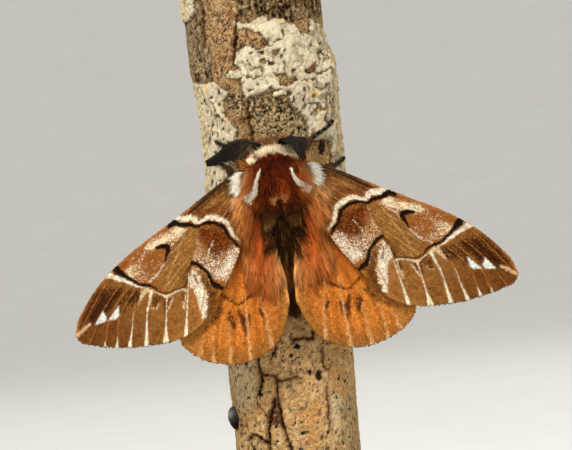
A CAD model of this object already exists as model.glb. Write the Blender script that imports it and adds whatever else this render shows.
"""The looks of a male Kentish glory moth at rest on a short cut length of lichened branch.

Sizes are in millimetres, and MM turns them into metres. The moth's own pieces are worked out in the moth's
frame: X across the body, Z along it towards the head, and -Y out of the back. Colours are given as a paint
maker would, in steps of 255, and the markings are laid over the wings as named lines and patches.
"""

import math
from itertools import product

import bpy
import numpy as np
from mathutils import Matrix, Vector


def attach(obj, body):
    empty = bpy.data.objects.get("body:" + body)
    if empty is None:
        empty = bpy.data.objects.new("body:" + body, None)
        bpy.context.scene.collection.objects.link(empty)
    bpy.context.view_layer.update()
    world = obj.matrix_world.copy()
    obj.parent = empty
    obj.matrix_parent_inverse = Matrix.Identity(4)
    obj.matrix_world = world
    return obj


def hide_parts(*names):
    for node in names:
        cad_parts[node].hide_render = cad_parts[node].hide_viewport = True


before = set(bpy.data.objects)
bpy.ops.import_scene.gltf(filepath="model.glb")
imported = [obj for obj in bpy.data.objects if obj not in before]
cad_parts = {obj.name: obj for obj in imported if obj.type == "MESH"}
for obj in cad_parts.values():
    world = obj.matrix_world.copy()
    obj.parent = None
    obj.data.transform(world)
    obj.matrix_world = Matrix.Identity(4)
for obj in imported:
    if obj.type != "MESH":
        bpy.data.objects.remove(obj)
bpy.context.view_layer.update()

MM = 0.001
GAP = 0.3

BASE_RADIUS = 31.0
BASE_THICK = 5.0
ROD_RADIUS = 2.5
ROD_LENGTH = 7.0
BRANCH_LENGTH = 61.0
BRANCH_FOOT_RADIUS = 8.2
BRANCH_TOP_RADIUS = 8.8
BRANCH_FOOT_Z = BASE_THICK + GAP + ROD_LENGTH + GAP

MOTH_X = 0.57
MOTH_Z = BRANCH_FOOT_Z + 36.0
MOTH_LEAN = -2.4

# Thick lichen sheets, and one worn hollow of less than no thickness: degrees round from the moth's side
# towards +X, height above the moth's hinge line, half width in degrees, half height, thickness.
LICHENS = (
    (28.0, 14.5, 46.0, 5.5, 0.45),
    (-84.0, 6.5, 36.0, 6.0, -0.45),
    (88.0, 5.5, 42.0, 10.5, 0.90),
    (-82.0, 20.0, 34.0, 6.5, 0.35),
    (150.0, 10.0, 40.0, 9.0, 0.45),
)
KNOB_ANGLE = -82.0
KNOB_Z = -29.95
KNOB_SIZE = 1.5
KNOB_HEIGHT = 0.8

HINGE_X = 3.2
FORE_Y = -14.2
WING_SLOPE = 0.23
WING_CURL = 0.0042
WING_PITCH = 0.03
WING_DROP = 1.2
MEMBRANE = 0.16

FORE_COSTA = ((3.2, 1.9), (5.9, 0.85), (8.9, -0.8), (12.3, -2.8), (15.5, -4.6), (19.9, -7.1), (23.85, -10.1),
              (27.0, -13.8), (27.9, -16.1))
FORE_TERMEN = ((27.9, -16.1), (27.25, -17.05), (25.7, -17.6), (23.5, -18.1), (21.0, -18.45), (18.7, -18.5),
               (16.6, -18.45), (14.9, -18.2), (13.5, -17.8), (12.4, -17.3))
FORE_DORSUM = ((3.2, -0.9), (4.2, -4.0), (5.1, -6.8), (6.5, -9.8), (8.65, -13.1), (11.1, -16.2),
               (12.4, -17.3))
# The right wings are spread a little further than the left ones.
STRETCH = {-1: 1.0, 1: 1.035}
FORE_VEINS = (
    ((3.6, 1.2), (8.0, -1.2), (12.0, -4.0), (15.0, -6.0)),
    ((6.0, 0.3), (12.0, -3.0), (18.5, -6.9), (22.5, -9.6), (25.5, -13.2), (27.3, -15.9)),
    ((15.0, -6.0), (19.5, -9.0), (23.5, -12.9), (26.2, -17.3)),
    ((16.5, -8.6), (20.5, -11.3), (23.2, -14.6), (24.3, -17.9)),
    ((17.0, -9.8), (20.3, -12.3), (22.0, -14.8), (22.8, -18.1)),
    ((17.6, -10.6), (19.3, -12.0), (20.5, -16.1), (21.15, -18.4)),
    ((12.0, -4.8), (14.4, -7.0), (15.7, -9.24), (17.46, -11.9), (18.36, -14.52), (19.04, -18.6)),
    ((12.3, -5.5), (14.0, -8.5), (15.5, -11.4), (15.75, -13.6), (16.1, -15.5), (16.49, -18.5)),
    ((3.6, 0.3), (7.0, -2.0), (10.0, -3.2), (10.69, -5.31), (11.34, -7.54), (12.38, -10.29), (12.95, -13.11),
     (13.36, -15.23), (13.87, -18.0)),
    ((4.5, -1.5), (7.5, -4.6), (9.5, -7.8), (10.3, -10.5), (10.9, -13.4), (12.3, -17.0)),
)
HIND_COSTA = ((3.3, -1.5), (6.4, -4.2), (9.6, -8.0), (12.4, -12.2), (14.2, -15.8), (14.7, -17.7))
HIND_TERMEN = ((14.7, -17.7), (14.6, -18.8), (14.0, -19.7), (12.9, -20.7), (11.4, -21.5), (9.5, -22.05),
               (7.6, -22.25), (6.0, -22.0), (4.2, -21.3), (2.8, -20.3), (1.75, -18.9), (1.05, -17.1),
               (0.5, -15.3))
HIND_DORSUM = ((3.1, -3.2), (2.55, -5.8), (2.0, -8.4), (1.3, -11.0), (0.65, -13.3), (0.5, -15.3))
HIND_VEINS = (0.12, 0.23, 0.31, 0.42, 0.54, 0.68, 0.82)

THORAX_CENTRE = (0.0, -13.1, -0.4)
THORAX_CORE = (3.5, 2.9, 3.7)
THORAX_COAT = (4.6, 3.8, 4.9)
HEAD_CENTRE = (0.0, -12.1, 3.8)
HEAD_CORE = (1.8, 1.4, 1.35)
HEAD_COAT = (2.1, 1.9, 1.95)
EYE_RADIUS = 0.85
EYE_PLACE = (1.75, -12.2, 3.7)
LOWEST_COAT_Y = -9.6
# Abdomen sections: place along the body, height of the middle, half width, half depth.
ABDOMEN_SECTIONS = (
    (-3.7, -12.5, 1.5, 1.4),
    (-4.6, -12.35, 2.0, 1.9),
    (-6.5, -12.1, 2.1, 2.0),
    (-8.6, -11.9, 1.85, 1.85),
    (-10.8, -11.6, 1.5, 1.5),
    (-12.8, -11.35, 1.15, 1.15),
    (-14.4, -11.15, 0.75, 0.8),
    (-15.3, -11.0, 0.4, 0.45),
)
SKIN_TOP, SKIN_END = 5.15, -15.6

ANTENNA_LEFT = (
    (-1.0, -13.0, 4.1), (-1.6, -13.9, 4.5), (-2.5, -14.5, 4.8), (-3.4, -14.8, 5.05), (-4.5, -14.8, 5.0),
    (-5.45, -14.6, 4.65), (-6.0, -14.4, 4.3), (-6.65, -14.1, 3.85), (-7.3, -13.8, 3.55), (-8.3, -13.3, 3.2),
)
ANTENNA_RIGHT = (
    (1.0, -13.0, 4.1), (1.7, -14.0, 4.55), (2.5, -15.3, 4.9), (3.0, -16.7, 4.45), (3.15, -17.7, 3.7),
    (3.1, -18.2, 3.0), (3.3, -18.3, 2.4), (3.75, -18.0, 1.8),
)
ARCH_MIDDLE = (2.5, -15.5, 2.5)
COMB_TEETH = 70

# Each leg: root and knee in the moth's frame, then where its foot starts and ends on the bark, as degrees
# round from the moth's side towards +X and height above the hinge line.
LEGS = {
    "foreleg_left": ((-1.3, -11.2, 2.0), (-4.6, -11.4, 2.7), (-33.0, 4.5), (-48.0, 5.45)),
    "foreleg_right": ((1.3, -11.2, 2.0), (3.8, -11.3, 2.9), (38.0, 4.6), (59.0, 6.7)),
    "midleg_left": ((-1.7, -11.0, 0.3), (-5.2, -11.6, 0.6), (-36.0, 1.9), (-52.0, 3.3)),
    "midleg_right": ((1.7, -11.0, 0.3), (5.4, -11.4, 0.2), (56.0, 1.0), (74.0, 1.9)),
    "hindleg_left": ((-1.6, -10.9, -1.6), (-5.0, -11.2, -3.8), (-42.0, -6.5), (-56.0, -9.2)),
    "hindleg_right": ((1.6, -10.9, -1.6), (5.2, -11.2, -4.0), (52.0, -6.8), (64.0, -9.6)),
}
FEMUR_RADIUS = 0.52
TIBIA_RADIUS = 0.45
TARSUS_RADIUS = 0.26
LEG_ROWS = 90
LEG_SIDES = 12
LEG_HAIRS = 900
FOOT_JOINTS = 5


# Small sums

def smooth(low, high, value):
    """0 below low, 1 above high, and an even S between them."""
    share = np.clip((value - low) / (high - low), 0.0, 1.0)
    return share * share * (3 - 2 * share)


def distances(line):
    """How far along a line of points each of its points is."""
    return np.concatenate([[0], np.cumsum(np.linalg.norm(np.diff(line, axis=0), axis=1))])


def along(points, count):
    """count points spread evenly on a smooth curve through the given points."""
    knots = np.array(points, float)
    padded = np.vstack([2 * knots[0] - knots[1], knots, 2 * knots[-1] - knots[-2]])
    t = np.linspace(0, 1, 16, endpoint=False)[:, None]
    fine = []
    for a, b, c, d in zip(padded, padded[1:], padded[2:], padded[3:]):
        bend, twist = 2 * a - 5 * b + 4 * c - d, 3 * b - a - 3 * c + d
        fine.append(0.5 * (2 * b + (c - a) * t + bend * t**2 + twist * t**3))
    fine = np.vstack([*fine, knots[-1:]])
    length = distances(fine)
    at = np.linspace(0, length[-1], count)
    return np.stack([np.interp(at, length, fine[:, k]) for k in range(fine.shape[1])], axis=1)


def read_line(line, share):
    """The line's point at each share of its length, for a line of evenly spread points."""
    place = np.clip(share, 0, 1) * (len(line) - 1)
    marks = np.arange(len(line))
    return np.stack([np.interp(place, marks, line[:, k]) for k in range(line.shape[1])], axis=-1)


def lattice(cell, seed):
    """A steady random number from 0 to 1 for each whole cell."""
    mixed = (cell[..., 0] * 73856093) ^ (cell[..., 1] * 19349663) ^ (cell[..., 2] * 83492791) ^ (seed * 40503)
    mixed = ((mixed ^ (mixed >> 13)) & 0x7FFFFFFF) * 1274126177
    return ((mixed >> 15) & 0xFFFF) / 0xFFFF


def noise(points, size, seed=0):
    """Smooth noise from -1 to 1 whose lumps are this size, each axis its own size if three are given."""
    scaled = np.asarray(points, float) / size
    cell = np.floor(scaled).astype(np.int64)
    part = scaled - cell
    fade = part * part * (3 - 2 * part)
    total = 0.0
    for corner in product((0, 1), repeat=3):
        weight = np.prod(np.where(corner, fade, 1 - fade), axis=-1)
        total = total + weight * lattice(cell + np.array(corner), seed)
    return total * 2 - 1


def layered(points, size, seed=0, layers=3):
    """Noise with finer and fainter layers added, still about -1 to 1."""
    total, share = 0.0, 0.55
    for layer in range(layers):
        total = total + share * noise(points, np.asarray(size) / 2.1**layer, seed + 17 * layer)
        share *= 0.55
    return total


def stacked(*parts):
    """Arrays side by side in one: the coordinates of points, or the parts of a colour."""
    return np.stack(parts, axis=-1)


def flat_points(x, z):
    return stacked(x, np.zeros_like(x), z)


def unit(ways):
    return ways / np.maximum(np.linalg.norm(ways, axis=-1, keepdims=True), 1e-9)


def paint(*steps):
    """A colour in steps of 255 as the linear light that a material takes."""
    share = np.array(steps, float) / 255
    return np.where(share <= 0.04045, share / 12.92, ((share + 0.055) / 1.055) ** 2.4)


# Markings

def nearest(x, z, line):
    """How far each place is from a line of points, and how far along the line that is."""
    line = np.asarray(line, float)
    length = distances(line)
    best, share = np.full(x.shape, 1e9), np.zeros(x.shape)
    for (ax, az), (bx, bz), start, end in zip(line, line[1:], length, length[1:]):
        run = max((bx - ax) ** 2 + (bz - az) ** 2, 1e-12)
        t = np.clip(((x - ax) * (bx - ax) + (z - az) * (bz - az)) / run, 0, 1)
        away = np.hypot(x - ax - t * (bx - ax), z - az - t * (bz - az))
        closer = away < best
        best = np.where(closer, away, best)
        share = np.where(closer, (start + (end - start) * t) / length[-1], share)
    return best, share


def inside(x, z, outline):
    """How far inside a closed outline each place is, and below nothing outside it."""
    corners = np.asarray([*outline, outline[0]], float)
    away, _ = nearest(x, z, corners)
    odd = np.zeros(x.shape, bool)
    for (ax, az), (bx, bz) in zip(corners, corners[1:]):
        if az == bz:
            continue
        crosses = (az > z) != (bz > z)
        odd ^= crosses & (x < ax + (bx - ax) * (z - az) / (bz - az))
    return np.where(odd, away, -away)


class Markings:
    """Colours laid over the places of a surface, the later ones over the earlier. grain, a random number
    for each place, breaks the edges up into single scales."""

    def __init__(self, x, z, ground, grain=None, wander=0.07):
        spots = flat_points(x, z)
        self.x = x + wander * noise(spots, 0.7, 3)
        self.z = z + wander * noise(spots, 0.7, 4)
        self.grain = grain
        self.colour = np.broadcast_to(paint(*ground), (*x.shape, 3)).copy()

    def lay(self, cover, colour, grainy=1.0):
        """Covers the places with a colour, by shares from 0 to 1."""
        cover = np.clip(cover, 0, 1)
        if self.grain is not None and grainy:
            soft = 0.12
            picked = np.clip((cover * (1 + 2 * soft) - soft - self.grain) / (2 * soft) + 0.5, 0, 1)
            cover = cover + (picked - cover) * grainy
        self.colour += (paint(*colour) - self.colour) * cover[..., None]

    def line(self, points, width, colour, cover=1.0, soft=0.1, grainy=0.5):
        """A line as wide as width says, one number or several read along it."""
        away, share = nearest(self.x, self.z, along(points, max(24, 6 * len(points))))
        widths = np.interp(share, np.linspace(0, 1, np.size(width)), np.atleast_1d(width)) / 2
        self.lay(cover * (1 - smooth(-soft, soft, away - widths)), colour, grainy)

    def within(self, outline, soft):
        """1 inside an outline and 0 outside it, with a soft edge."""
        return smooth(-soft, soft, inside(self.x, self.z, outline))

    def patch(self, outline, colour, cover=1.0, soft=0.2, grainy=1.0):
        self.lay(cover * self.within(outline, soft), colour, grainy)


AM_WHITE = ((13.02, -3.54), (11.98, -3.36), (11.12, -3.4), (10.2, -4.08), (9.29, -3.77), (8.41, -3.72),
            (7.46, -4.17), (6.72, -4.57), (6.42, -5.55), (6.04, -6.4), (5.43, -7.21))
AM_BLACK = ((13.95, -3.8), (13.3, -3.75), (12.72, -3.98), (11.95, -4.15), (11.17, -4.23), (10.78, -4.58),
            (10.26, -4.5), (9.51, -4.32), (8.65, -4.37), (7.83, -4.7), (7.3, -5.07), (6.97, -5.84),
            (6.64, -6.61), (6.16, -7.25), (5.66, -7.83))
COSTAL_WHITE = ((12.86, -4.0), (14.4, -4.75), (16.2, -5.5), (17.6, -6.4), (16.6, -6.9), (15.9, -6.46),
                (14.42, -6.24), (12.86, -5.44), (12.04, -4.76))
COMMA = ((15.98, -6.55), (15.31, -6.43), (14.6, -6.53), (14.55, -6.94), (14.84, -7.7), (15.31, -8.43))
CELL_STREAK = ((12.05, -4.83), (13.2, -5.83), (14.38, -6.97), (15.71, -9.24), (17.66, -10.78))
OLIVE_FIELD = ((10.87, -4.71), (12.09, -5.12), (14.25, -7.13), (15.73, -9.39), (16.86, -11.26),
               (15.42, -12.33), (13.75, -11.77), (12.99, -11.51), (12.38, -10.29), (11.86, -8.63),
               (11.01, -6.72), (10.59, -4.75))
RUST_FIELD = ((16.5, -6.6), (19.5, -8.0), (21.3, -8.9), (19.3, -10.2), (17.5, -10.8), (16.2, -9.2),
              (15.5, -8.2), (15.9, -7.0))
DORSAL_FIELD = ((10.6, -4.7), (7.5, -5.2), (6.4, -7.1), (5.78, -8.18), (6.54, -9.95), (8.39, -11.79),
                (9.68, -11.18), (11.8, -8.9), (11.1, -6.7))
DORSAL_WHITE = ((6.0, -7.6), (5.6, -8.3), (6.3, -9.8), (7.9, -11.8), (9.4, -11.2), (9.3, -10.6), (7.9, -9.4),
                (7.0, -8.0))
DORSAL_RUST = ((10.5, -4.6), (7.4, -5.2), (6.4, -6.7), (6.5, -7.7), (7.7, -8.5), (8.9, -9.1), (9.6, -7.6),
               (10.5, -6.0))
VEIN_WHITE_A = ((10.69, -5.31), (11.34, -7.54), (11.73, -8.57))
VEIN_WHITE_B = ((8.72, -6.46), (9.49, -7.8), (10.1, -9.02))
PM_BLACK = ((21.9, -8.1), (21.4, -8.5), (20.93, -9.15), (20.13, -9.78), (19.35, -10.4),
            (18.55, -10.87), (17.56, -11.09), (16.97, -11.5))
PM_LOBE = ((16.97, -11.5), (16.39, -12.05), (15.43, -12.44), (14.52, -12.09), (13.76, -11.87),
           (13.17, -11.78), (12.69, -10.97), (12.23, -9.73), (11.83, -8.99))
PM_REAR = ((11.82, -8.92), (11.35, -9.16), (10.72, -9.8), (10.22, -10.38), (9.88, -11.08), (9.55, -11.85),
           (9.05, -12.35), (8.43, -12.61))
PM_WHITE = ((22.58, -9.15), (21.55, -9.58), (20.74, -10.01), (19.82, -10.62), (19.21, -10.95))
PM_CREAM = ((19.21, -10.95), (18.32, -11.34), (17.23, -11.81), (16.3, -12.42), (15.56, -12.82),
            (14.55, -12.31), (13.5, -12.05), (13.09, -12.22))
PM_CREAM_REAR = ((11.71, -9.66), (11.02, -9.9), (10.42, -10.28), (10.01, -11.49), (9.51, -12.8))
BROKEN_WHITE = ((11.84, -9.57), (12.44, -10.72), (12.68, -12.42), (11.89, -12.97), (11.94, -14.41),
                (11.45, -16.07), (10.97, -15.92), (10.41, -13.32), (10.82, -12.1), (11.02, -10.92))
TRIANGLES = (((25.22, -15.08), (23.99, -13.51), (23.6, -14.37), (23.82, -14.91)),
             ((23.44, -14.75), (21.83, -13.09), (21.93, -14.31), (22.42, -14.75)))
APEX_STREAK = ((27.6, -16.1), (26.56, -15.33), (25.85, -14.92))
# White wedges on the veins: the vein's line out to the margin, and the widths along it.
WEDGES = (
    (((24.22, -17.25), (24.29, -17.9)), (0.05, 0.25)),
    (((22.52, -16.9), (22.8, -18.1)), (0.05, 0.15, 0.42)),
    (((20.1, -14.2), (20.51, -16.1), (21.15, -18.4)), (0.05, 0.08, 0.2, 0.52)),
    (((17.46, -11.9), (17.85, -13.15), (18.36, -14.52), (19.04, -18.6)), (0.75, 0.22, 0.16, 0.32, 0.6)),
    (((15.56, -12.82), (15.93, -14.72), (16.49, -18.6)), (0.2, 0.08, 0.08, 0.34, 0.85)),
    (((12.38, -10.29), (12.95, -13.11), (13.36, -15.23), (13.87, -18.1)), (0.08, 0.14, 0.18, 0.26, 0.55)),
)
DARK_STREAKS = ((24.2, -10.6), (18.6, -11.5), (18.7, -12.4), (19.6, -13.5), (20.8, -12.9), (21.5, -14.0),
                (23.5, -13.9), (25.9, -15.0), (26.9, -14.2))
LUNULES = (
    ((17.39, -12.41), (16.64, -12.74), (16.94, -13.85), (17.69, -14.04)),
    ((16.21, -12.8), (14.79, -13.0), (15.54, -14.2), (16.07, -15.42)),
    ((13.65, -12.14), (13.13, -12.51), (13.55, -14.48), (13.66, -13.73)),
)
BASAL_FIELD = ((3.0, 2.3), (13.2, -3.2), *AM_WHITE[1:], (3.0, -2.0))
BASAL_REAR = ((11.0, -2.9), (9.0, -3.0), (7.2, -3.2), (5.8, -4.2), (5.2, -5.9))
COSTA_DARK = ((3.2, 1.7), (5.87, 0.8), (7.9, -0.2), (9.5, -1.3), (11.24, -2.3))
OUTER_FIELD = ((23.0, -8.6), (19.2, -11.1), (16.9, -12.0), (15.5, -12.7), (13.4, -12.1), (12.6, -11.6),
               (11.7, -9.4), (10.5, -10.1), (9.5, -12.9), (11.5, -18.5), (29.0, -19.5), (29.0, -14.0))
WHITE = (238, 224, 198)
CREAM = (226, 198, 158)
BLACK = (34, 18, 8)


def grit(spots, streaks):
    """How much lighter or darker single scales and small groups of them are than their neighbours."""
    return 1 + 0.12 * noise(spots, 0.45, 5) + 0.24 * noise(spots, 0.2, 12) + 0.08 * streaks


def forewing_colours(x, z, u, v, veins, grain=None):
    """The forewing's upper side, its places given across and along the moth and in the wing's own shares."""
    marks = Markings(x, z, (160, 98, 40), grain, wander=0.12)
    spots = flat_points(x, z)
    streaks = noise(stacked(u * 2.2, v * 46, 0 * u), 1.0, 8)
    streaks_fine = noise(stacked(u * 5, v * 90, 0 * u), 1.0, 9)
    patchy = layered(spots, 1.1, 6)
    marks.patch(OUTER_FIELD, (156, 105, 50), soft=0.3)
    tipward = smooth(15.5, 24.5, x - 0.35 * (z + 15))
    marks.lay(tipward * 0.85, (120, 70, 27), 0.5)
    marks.lay(smooth(0.0, 0.8, streaks + 0.4 * patchy) * (0.2 + 0.5 * tipward), (92, 48, 14), 0.7)

    marks.patch(BASAL_FIELD, (142, 92, 42), soft=0.3)
    basal = marks.within(BASAL_FIELD, 0.2)
    marks.lay(basal * smooth(0.0, 0.7, streaks) * 0.7, (170, 116, 62), 0.8)
    marks.lay(basal * smooth(-0.1, 0.45, -streaks) * 0.9, (66, 40, 22), 0.8)
    marks.lay(basal * smooth(7.0, 4.5, x) * smooth(-2.8, -0.8, z) * 0.5, (70, 44, 22), 0.8)
    marks.line(BASAL_REAR, (0.6, 1.3, 1.6, 1.4, 1.0), (128, 68, 24), cover=0.7, soft=0.5, grainy=0.8)
    marks.line(COSTA_DARK, (2.2, 2.2, 1.8, 1.2, 0.5), (64, 43, 28), cover=0.85, soft=0.7, grainy=0.8)
    marks.lay(basal * smooth(0.15, 0.55, streaks_fine) * 0.45, (182, 136, 82), 0.9)

    marks.patch(DORSAL_FIELD, (146, 88, 36), soft=0.2)
    marks.patch(DORSAL_FIELD, (216, 182, 134), cover=0.42 + 0.3 * patchy, soft=0.3)
    marks.patch(DORSAL_RUST, (98, 42, 10), cover=0.9 + 0.3 * patchy, soft=0.7, grainy=0.9)
    marks.patch(DORSAL_RUST, (204, 128, 58), cover=0.16, soft=0.5)
    marks.patch(DORSAL_FIELD, WHITE, cover=0.4 * smooth(-7.2, -9.8, z), soft=0.3)
    marks.patch(DORSAL_WHITE, WHITE, cover=0.7 + 0.25 * patchy, soft=0.7)
    marks.line(VEIN_WHITE_A, 0.22, WHITE, cover=0.6, soft=0.2, grainy=1)
    marks.line(VEIN_WHITE_B, 0.16, WHITE, cover=0.6, soft=0.16, grainy=1)

    marks.patch(RUST_FIELD, (158, 94, 34), soft=0.5)
    toward = smooth(17.0, 20.4, x) * smooth(-6.4, -9.2, z)
    marks.patch(RUST_FIELD, (234, 210, 172), cover=0.2 + 0.46 * toward + 0.3 * patchy, soft=0.5)
    marks.line(((12.9, -4.0), (15.9, -5.6), (18.7, -7.2), (21.4, -8.7)), (0.5, 0.7, 0.9, 0.8), (160, 92, 38),
               cover=0.8, soft=0.4)
    marks.patch(COSTAL_WHITE, (242, 220, 184), cover=0.86 + 0.25 * patchy, soft=0.45)
    marks.line(((15.6, -6.2), (17.3, -6.8), (18.3, -8.0)), 0.4, WHITE, cover=0.4, soft=0.4, grainy=1)
    marks.line(((16.0, -5.5), (18.2, -6.9), (19.6, -7.8)), 0.3, WHITE, cover=0.25, soft=0.4, grainy=1)

    marks.patch(OLIVE_FIELD, (152, 104, 50), soft=0.18)
    olive = marks.within(OLIVE_FIELD, 0.1)
    marks.lay(olive * smooth(0.1, 0.9, streaks_fine + 0.5 * patchy) * 0.6, (192, 144, 82), 0.9)
    marks.lay(olive * smooth(0.1, 0.9, -streaks - 0.5 * patchy) * 0.55, (124, 80, 32), 0.9)
    marks.lay(olive * smooth(-6.8, -4.6, z) * 0.45, (128, 82, 34), 0.6)
    marks.line(((15.5, -11.4), (14.0, -8.5), (12.3, -5.5)), 0.14, (214, 170, 112), cover=0.6, soft=0.14)
    marks.line(CELL_STREAK, (0.1, 0.26, 0.2, 0.26, 0.2), WHITE, cover=0.75, soft=0.2, grainy=1)
    marks.line(COMMA, (0.36, 0.55, 0.7, 0.58, 0.42, 0.14), BLACK, soft=0.12, grainy=0.9)
    rim, _ = nearest(x, z, along(FORE_COSTA, 60))
    marks.lay((1 - smooth(0.1, 0.4, rim)) * smooth(9.0, 12.0, x) * 0.8, (186, 118, 58), 0.6)

    marks.line(AM_WHITE, (1.3, 1.1, 0.9, 0.8, 0.85, 0.85, 0.8), (184, 112, 52), cover=0.7, soft=0.25,
               grainy=1)
    marks.line(AM_WHITE, (1.0, 0.85, 0.6, 0.5, 0.58, 0.6, 0.56, 0.5, 0.44), WHITE, soft=0.2, grainy=1)
    marks.line(AM_BLACK, (0.9, 0.75, 0.6, 0.6, 0.5, 0.42, 0.4, 0.46, 0.5, 0.52, 0.5, 0.46, 0.44, 0.4, 0.3),
               BLACK, soft=0.14, grainy=0.95)

    marks.patch(DARK_STREAKS, (66, 34, 12), cover=0.75 + 0.5 * streaks, soft=0.6, grainy=0.8)
    for outline in LUNULES:
        marks.patch(outline, (104, 62, 24), cover=0.85, soft=0.28)
        marks.line(outline[1:], 0.22, CREAM, cover=0.65, soft=0.16, grainy=1)
    marks.line(((17.9, -11.5), (18.7, -12.1), (19.4, -13.4)), (0.7, 0.4, 0.12), CREAM, cover=0.85, soft=0.2,
               grainy=1)
    marks.patch(((16.9, -12.1), (15.9, -12.8), (16.6, -13.4), (17.3, -13.2)), (98, 60, 24), cover=0.75)
    marks.line(PM_CREAM, (0.3, 0.24, 0.22, 0.26, 0.4, 0.28, 0.24), CREAM, soft=0.15, grainy=1)
    marks.line(PM_CREAM_REAR, (0.2, 0.24, 0.26, 0.3, 0.34), (222, 178, 128), soft=0.15, grainy=1)
    marks.line(((10.6, -11.2), (9.9, -12.6), (10.2, -14.6), (10.9, -16.2)), (0.9, 1.4, 1.2, 0.6),
               (94, 54, 20), cover=0.75, soft=0.4, grainy=0.9)
    marks.patch(BROKEN_WHITE, WHITE, cover=0.8 + 0.25 * patchy, soft=0.34)
    marks.line(((12.35, -12.4), (12.3, -14.2), (12.0, -15.6)), (0.5, 0.8, 0.5), (176, 112, 56), cover=0.8,
               soft=0.25, grainy=1)
    marks.line(((11.7, -10.6), (11.4, -11.6)), 0.3, (136, 72, 24), cover=0.7, soft=0.2, grainy=1)
    marks.line(PM_WHITE, (0.8, 0.75, 0.6, 0.5, 0.36), WHITE, soft=0.16, grainy=1)
    marks.line(PM_BLACK, (1.0, 0.85, 0.7, 0.5, 0.5, 0.46, 0.42, 0.34, 0.28), BLACK, soft=0.14, grainy=0.95)
    marks.line(PM_LOBE, (0.28, 0.24, 0.22, 0.2, 0.24, 0.26, 0.22, 0.2), (62, 34, 12), cover=0.85, soft=0.13)
    marks.line(PM_REAR, (0.42, 0.48, 0.5, 0.5, 0.5, 0.58, 0.7, 0.6), BLACK, soft=0.14, grainy=0.95)

    outer = smooth(0.0, 0.6, inside(x, z, OUTER_FIELD))
    for vein in veins:
        away, share = nearest(x, z, vein)
        marks.lay(outer * 0.6 * (1 - smooth(0.02, 0.13, away)) * (share > 0.3), (186, 118, 56), 0.6)
        marks.lay(basal * 0.5 * (1 - smooth(0.02, 0.14, away)), (84, 48, 20), 0.6)
    marks.x, marks.z = x, z
    for line, widths in WEDGES:
        marks.line(line, np.array(widths) * np.linspace(0.6, 1.0, len(widths)), (238, 226, 196), soft=0.1,
                   grainy=0.7)
    for outline in TRIANGLES:
        marks.patch(outline, (234, 236, 222), soft=0.1, grainy=0.6)
    marks.line(APEX_STREAK, (0.42, 0.42, 0.3), (230, 190, 140), soft=0.16, grainy=1)
    return marks.colour * grit(spots, streaks_fine)[..., None]


HIND_LINE = ((8.78, -13.5), (8.22, -14.0), (7.66, -14.44), (6.87, -14.82), (6.13, -14.76), (5.44, -14.29),
             (4.62, -13.67), (3.53, -13.4), (2.74, -13.72), (1.93, -13.94), (1.14, -14.26))
HIND_ARROWS = ((((8.1, -15.9), (7.95, -16.9), (7.8, -18.0)), (0.5, 1.0, 0.7, 0.2)),
               (((6.9, -15.9), (6.5, -17.1), (6.35, -18.9)), (0.5, 1.1, 0.7, 0.2)),
               (((5.75, -16.3), (5.95, -18.2)), (0.4, 0.3, 0.1)),
               (((4.3, -15.4), (4.2, -16.2), (4.04, -17.1)), (0.2, 0.5, 0.1)))
HIND_CORNER = ((9.4, -15.2), (10.61, -16.6), (11.79, -17.79), (12.2, -19.2), (12.65, -21.4), (16.5, -20.0),
               (15.8, -15.5), (12.0, -12.5))
HIND_RUST = ((4.01, -9.36), (3.93, -12.51), (2.88, -14.75), (2.45, -16.9))
HIND_PALE = (((11.85, -18.2), (12.61, -21.3)), ((10.2, -17.2), (10.98, -22.0)),
             ((8.2, -16.9), (8.46, -18.68), (8.9, -22.4)), ((5.7, -13.4), (6.13, -18.48), (6.23, -22.3)),
             ((4.2, -12.6), (3.63, -17.79), (3.43, -21.1)))


def hindwing_colours(x, z, u, v, veins, grain=None):
    marks = Markings(x, z, (206, 122, 42), grain, wander=0.16)
    spots = flat_points(x, z)
    streaks = noise(stacked(u * 2.5, v * 40, 0 * u), 1.0, 18)
    broken = layered(spots, 0.6, 21)
    marks.lay(smooth(-15.0, -9.0, z) * 0.75, (196, 100, 42), 0.3)
    marks.lay(smooth(5.0, 2.5, x) * smooth(-11.0, -15.0, z) * 0.6, (222, 138, 66), 0.5)
    marks.lay(smooth(0.0, 0.8, streaks) * 0.4, (220, 148, 72), 0.6)
    marks.lay(smooth(0.0, 0.8, -streaks) * 0.4, (184, 100, 34), 0.6)
    edge, _ = nearest(x, z, along(HIND_TERMEN, 80))
    marks.lay((1 - smooth(0.3, 3.0, edge + 0.7 * broken)) * 0.85, (164, 106, 46), 1.0)
    marks.line(HIND_RUST, (1.2, 1.3, 1.0, 0.5), (176, 84, 32), cover=0.5, soft=0.7, grainy=0.5)
    marks.patch(HIND_CORNER, (192, 128, 60), cover=0.95, soft=0.22)
    marks.line(((9.3, -15.4), (10.2, -16.5), (11.6, -17.8)), (1.1, 0.9, 0.4), (104, 60, 22),
               cover=0.6 + 0.5 * broken, soft=0.4, grainy=0.8)
    marks.line(HIND_LINE, (0.4, 0.3, 0.3, 0.36, 0.4, 0.4, 0.5, 0.6, 0.5, 0.35, 0.2), (104, 46, 16),
               cover=0.9 + 0.6 * broken, soft=0.24, grainy=0.7)
    for line, widths in HIND_ARROWS:
        marks.line(line, widths, (100, 48, 20), cover=0.9 + 0.5 * broken, soft=0.24, grainy=0.8)
    marks.lay((1 - smooth(0.0, 0.7, nearest(x, z, along(HIND_DORSUM, 60))[0])) * 0.7, (226, 158, 92), 0.4)
    for line in HIND_PALE:
        marks.line(line, (0.08, 0.2, 0.34, 0.6), (236, 186, 124), cover=0.6, soft=0.2, grainy=0.5)
    return marks.colour * grit(spots, streaks)[..., None]


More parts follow.
